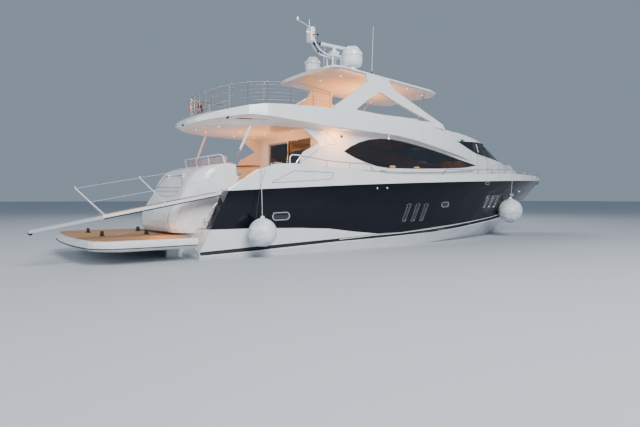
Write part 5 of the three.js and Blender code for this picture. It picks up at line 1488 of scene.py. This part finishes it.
def stem_head():
    """Two rollers between cheeks lead the anchor's shank over the stem; its fluke lies against the stem."""
    frames = [block((12.45, y - 0.008, 2.99), (13.04, y + 0.008, 3.2), 0.006) for y in (-0.085, 0.085)]
    frames.append(block((12.45, -0.09, 2.99), (12.98, 0.09, 3.014), 0.004))
    rows = [(0.05, -0.07), (0.032, 0.0), (0.05, 0.07)]
    frames += [turned(rows, (x, 0, 3.1), (0, 1, 0), 18) for x in (12.7, 12.97)]
    settle(frames, "stem_roller", "stainless")
    bends = [(12.25, 3.172), (12.95, 3.172), (13.09, 3.145), (13.135, 3.04), (13.09, 2.93), (13.02, 2.85)]
    shank = tube([(x, 0, z) for x, z in bends], 0.02)
    fluke = plate([(-0.08, -0.1), (0.1, -0.14), (0.34, 0.0), (0.1, 0.14), (-0.08, 0.1)], 0.02, 0.006)
    stand(fluke, (13.02, 0, 2.85), (0.585, 0, -0.81), (-0.81, 0, -0.585))
    settle([shank, fluke], "anchor", "stainless")


def hatch_rim():
    up = Vector((sin(radians(20)), 0, cos(radians(20))))
    rim = ring_of(oblong(0.298, 0.298, 0.06), 0.035, 0.008, 0.003)
    stand(rim, Vector((9.95, 0, 3.48)) + up * 0.0455, up)
    settle(rim, "hatch_lid_rim", "stainless", "foredeck_hatch")


FENDERS = [  # name, middle of the CAD's ball, radius; the ball drawn here has its lowest point there
    ("aft", (-8.12, -3.53, 0.37), 0.46), ("fwd", (6.55, -2.56, 0.72), 0.58),
]


def fenders():
    for name, middle, r in FENDERS:
        turns = [radians(12 * k - 86) for k in range(14)]
        rows = [(cos(a) * r, sin(a) * r) for a in turns]
        rows += [(r * 0.2, r * 0.99), (r * 0.14, r * 1.05), (r * 0.12, r * 1.15)]
        ball = settle(turned(rows, middle, sides=40), "fender_ball_" + name, "fender_rubber")
        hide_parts("fender_" + name)
        rows = [(0.32, 0.955), (0.27, 1.0), (0.165, 1.06), (0.155, 1.165), (0.1, 1.19)]
        cap = turned([(r * out, r * up) for out, up in rows], middle, sides=28)
        eye = Vector(middle) + Vector((0, 0, r * 1.2))
        ring = tube([eye + Vector((x, 0, z)) for x, z, _ in oval(0.03, 0.03, 12)], 0.011, True)
        settle([cap, ring], "fender_cap_" + name, "dark")
        turns = [0.7 * k for k in range(14)]
        coils = [eye + Vector((0.017 * cos(2 * a), 0.017 * sin(2 * a), 0.04 + 0.006 * a)) for a in turns]
        settle(tube(coils, 0.009, sides=2), "lanyard_knot_" + name, "rope")


cleats()
windlass()
stem_head()
hatch_rim()
fenders()


# Floor and light
def set_stage():
    take()
    bpy.ops.mesh.primitive_plane_add(size=600, location=(0, 0, 0))
    floor = bpy.context.object
    floor.name = "floor"
    material, tree, shader = new_material("floor_matt_pale", Roughness=0.7)
    shader.inputs["Base Color"].default_value = hue("#BCC1C7")
    floor.data.materials.append(material)
    world = bpy.data.worlds.new("studio")
    world.use_nodes = True
    world.node_tree.nodes["Background"].inputs["Color"].default_value = hue("#AFC0D4")
    world.node_tree.nodes["Background"].inputs["Strength"].default_value = 0.55
    bpy.context.scene.world = world
    for name, place, size, power in [
        ("key", (-12, -30, 22), 16, 15000),
        ("fill", (-36, 6, 12), 18, 3000),
        ("rim", (16, 26, 24), 18, 5000),
    ]:
        area_light(name, place, Vector((-1, 0, 2)) - Vector(place), size, power)
    for row in GLOWS:
        light = area_light(*row)
        light.data.color = hue("#FFA24A")[:3]
        light.visible_camera = False


def area_light(name, place, aim, size, power):
    bpy.ops.object.light_add(type="AREA", location=place)
    light = bpy.context.object
    light.name = name
    light.data.energy = power
    light.data.size = size
    light.rotation_euler = Vector(aim).to_track_quat("-Z", "Y").to_euler()
    return light


GLOWS = [  # the yacht's own warm lamps: place, aim, size and power
    ("glow_cockpit", (-6.6, 0.0, 3.2), (0, 0, 1), 2.0, 90),
    ("glow_cockpit_sole", (-6.6, 0.0, 4.3), (0, 0, -1), 1.6, 60),
    ("glow_saloon", (-2.4, 0.0, 4.3), (0, 0, -1), 2.0, 60),
    ("glow_helm", (4.2, 0.0, 4.2), (0, 0, -1), 1.2, 14),
    ("glow_hardtop", (-1.0, 0.0, 5.75), (0, 0, 1), 2.4, 130),
    ("glow_fly", (-1.5, 0.3, 6.7), (0, 0, -1), 1.6, 50),
    ("glow_stairs", (-10.9, -2.1, 1.25), (0.0, -0.1, -1), 0.5, 12),
    ("glow_side", (-4.4, -3.0, 4.3), (0.1, 0.75, -1), 0.8, 34),
    ("glow_side_port", (-4.4, 3.0, 4.3), (0.1, -0.75, -1), 0.8, 34),
]


set_stage()
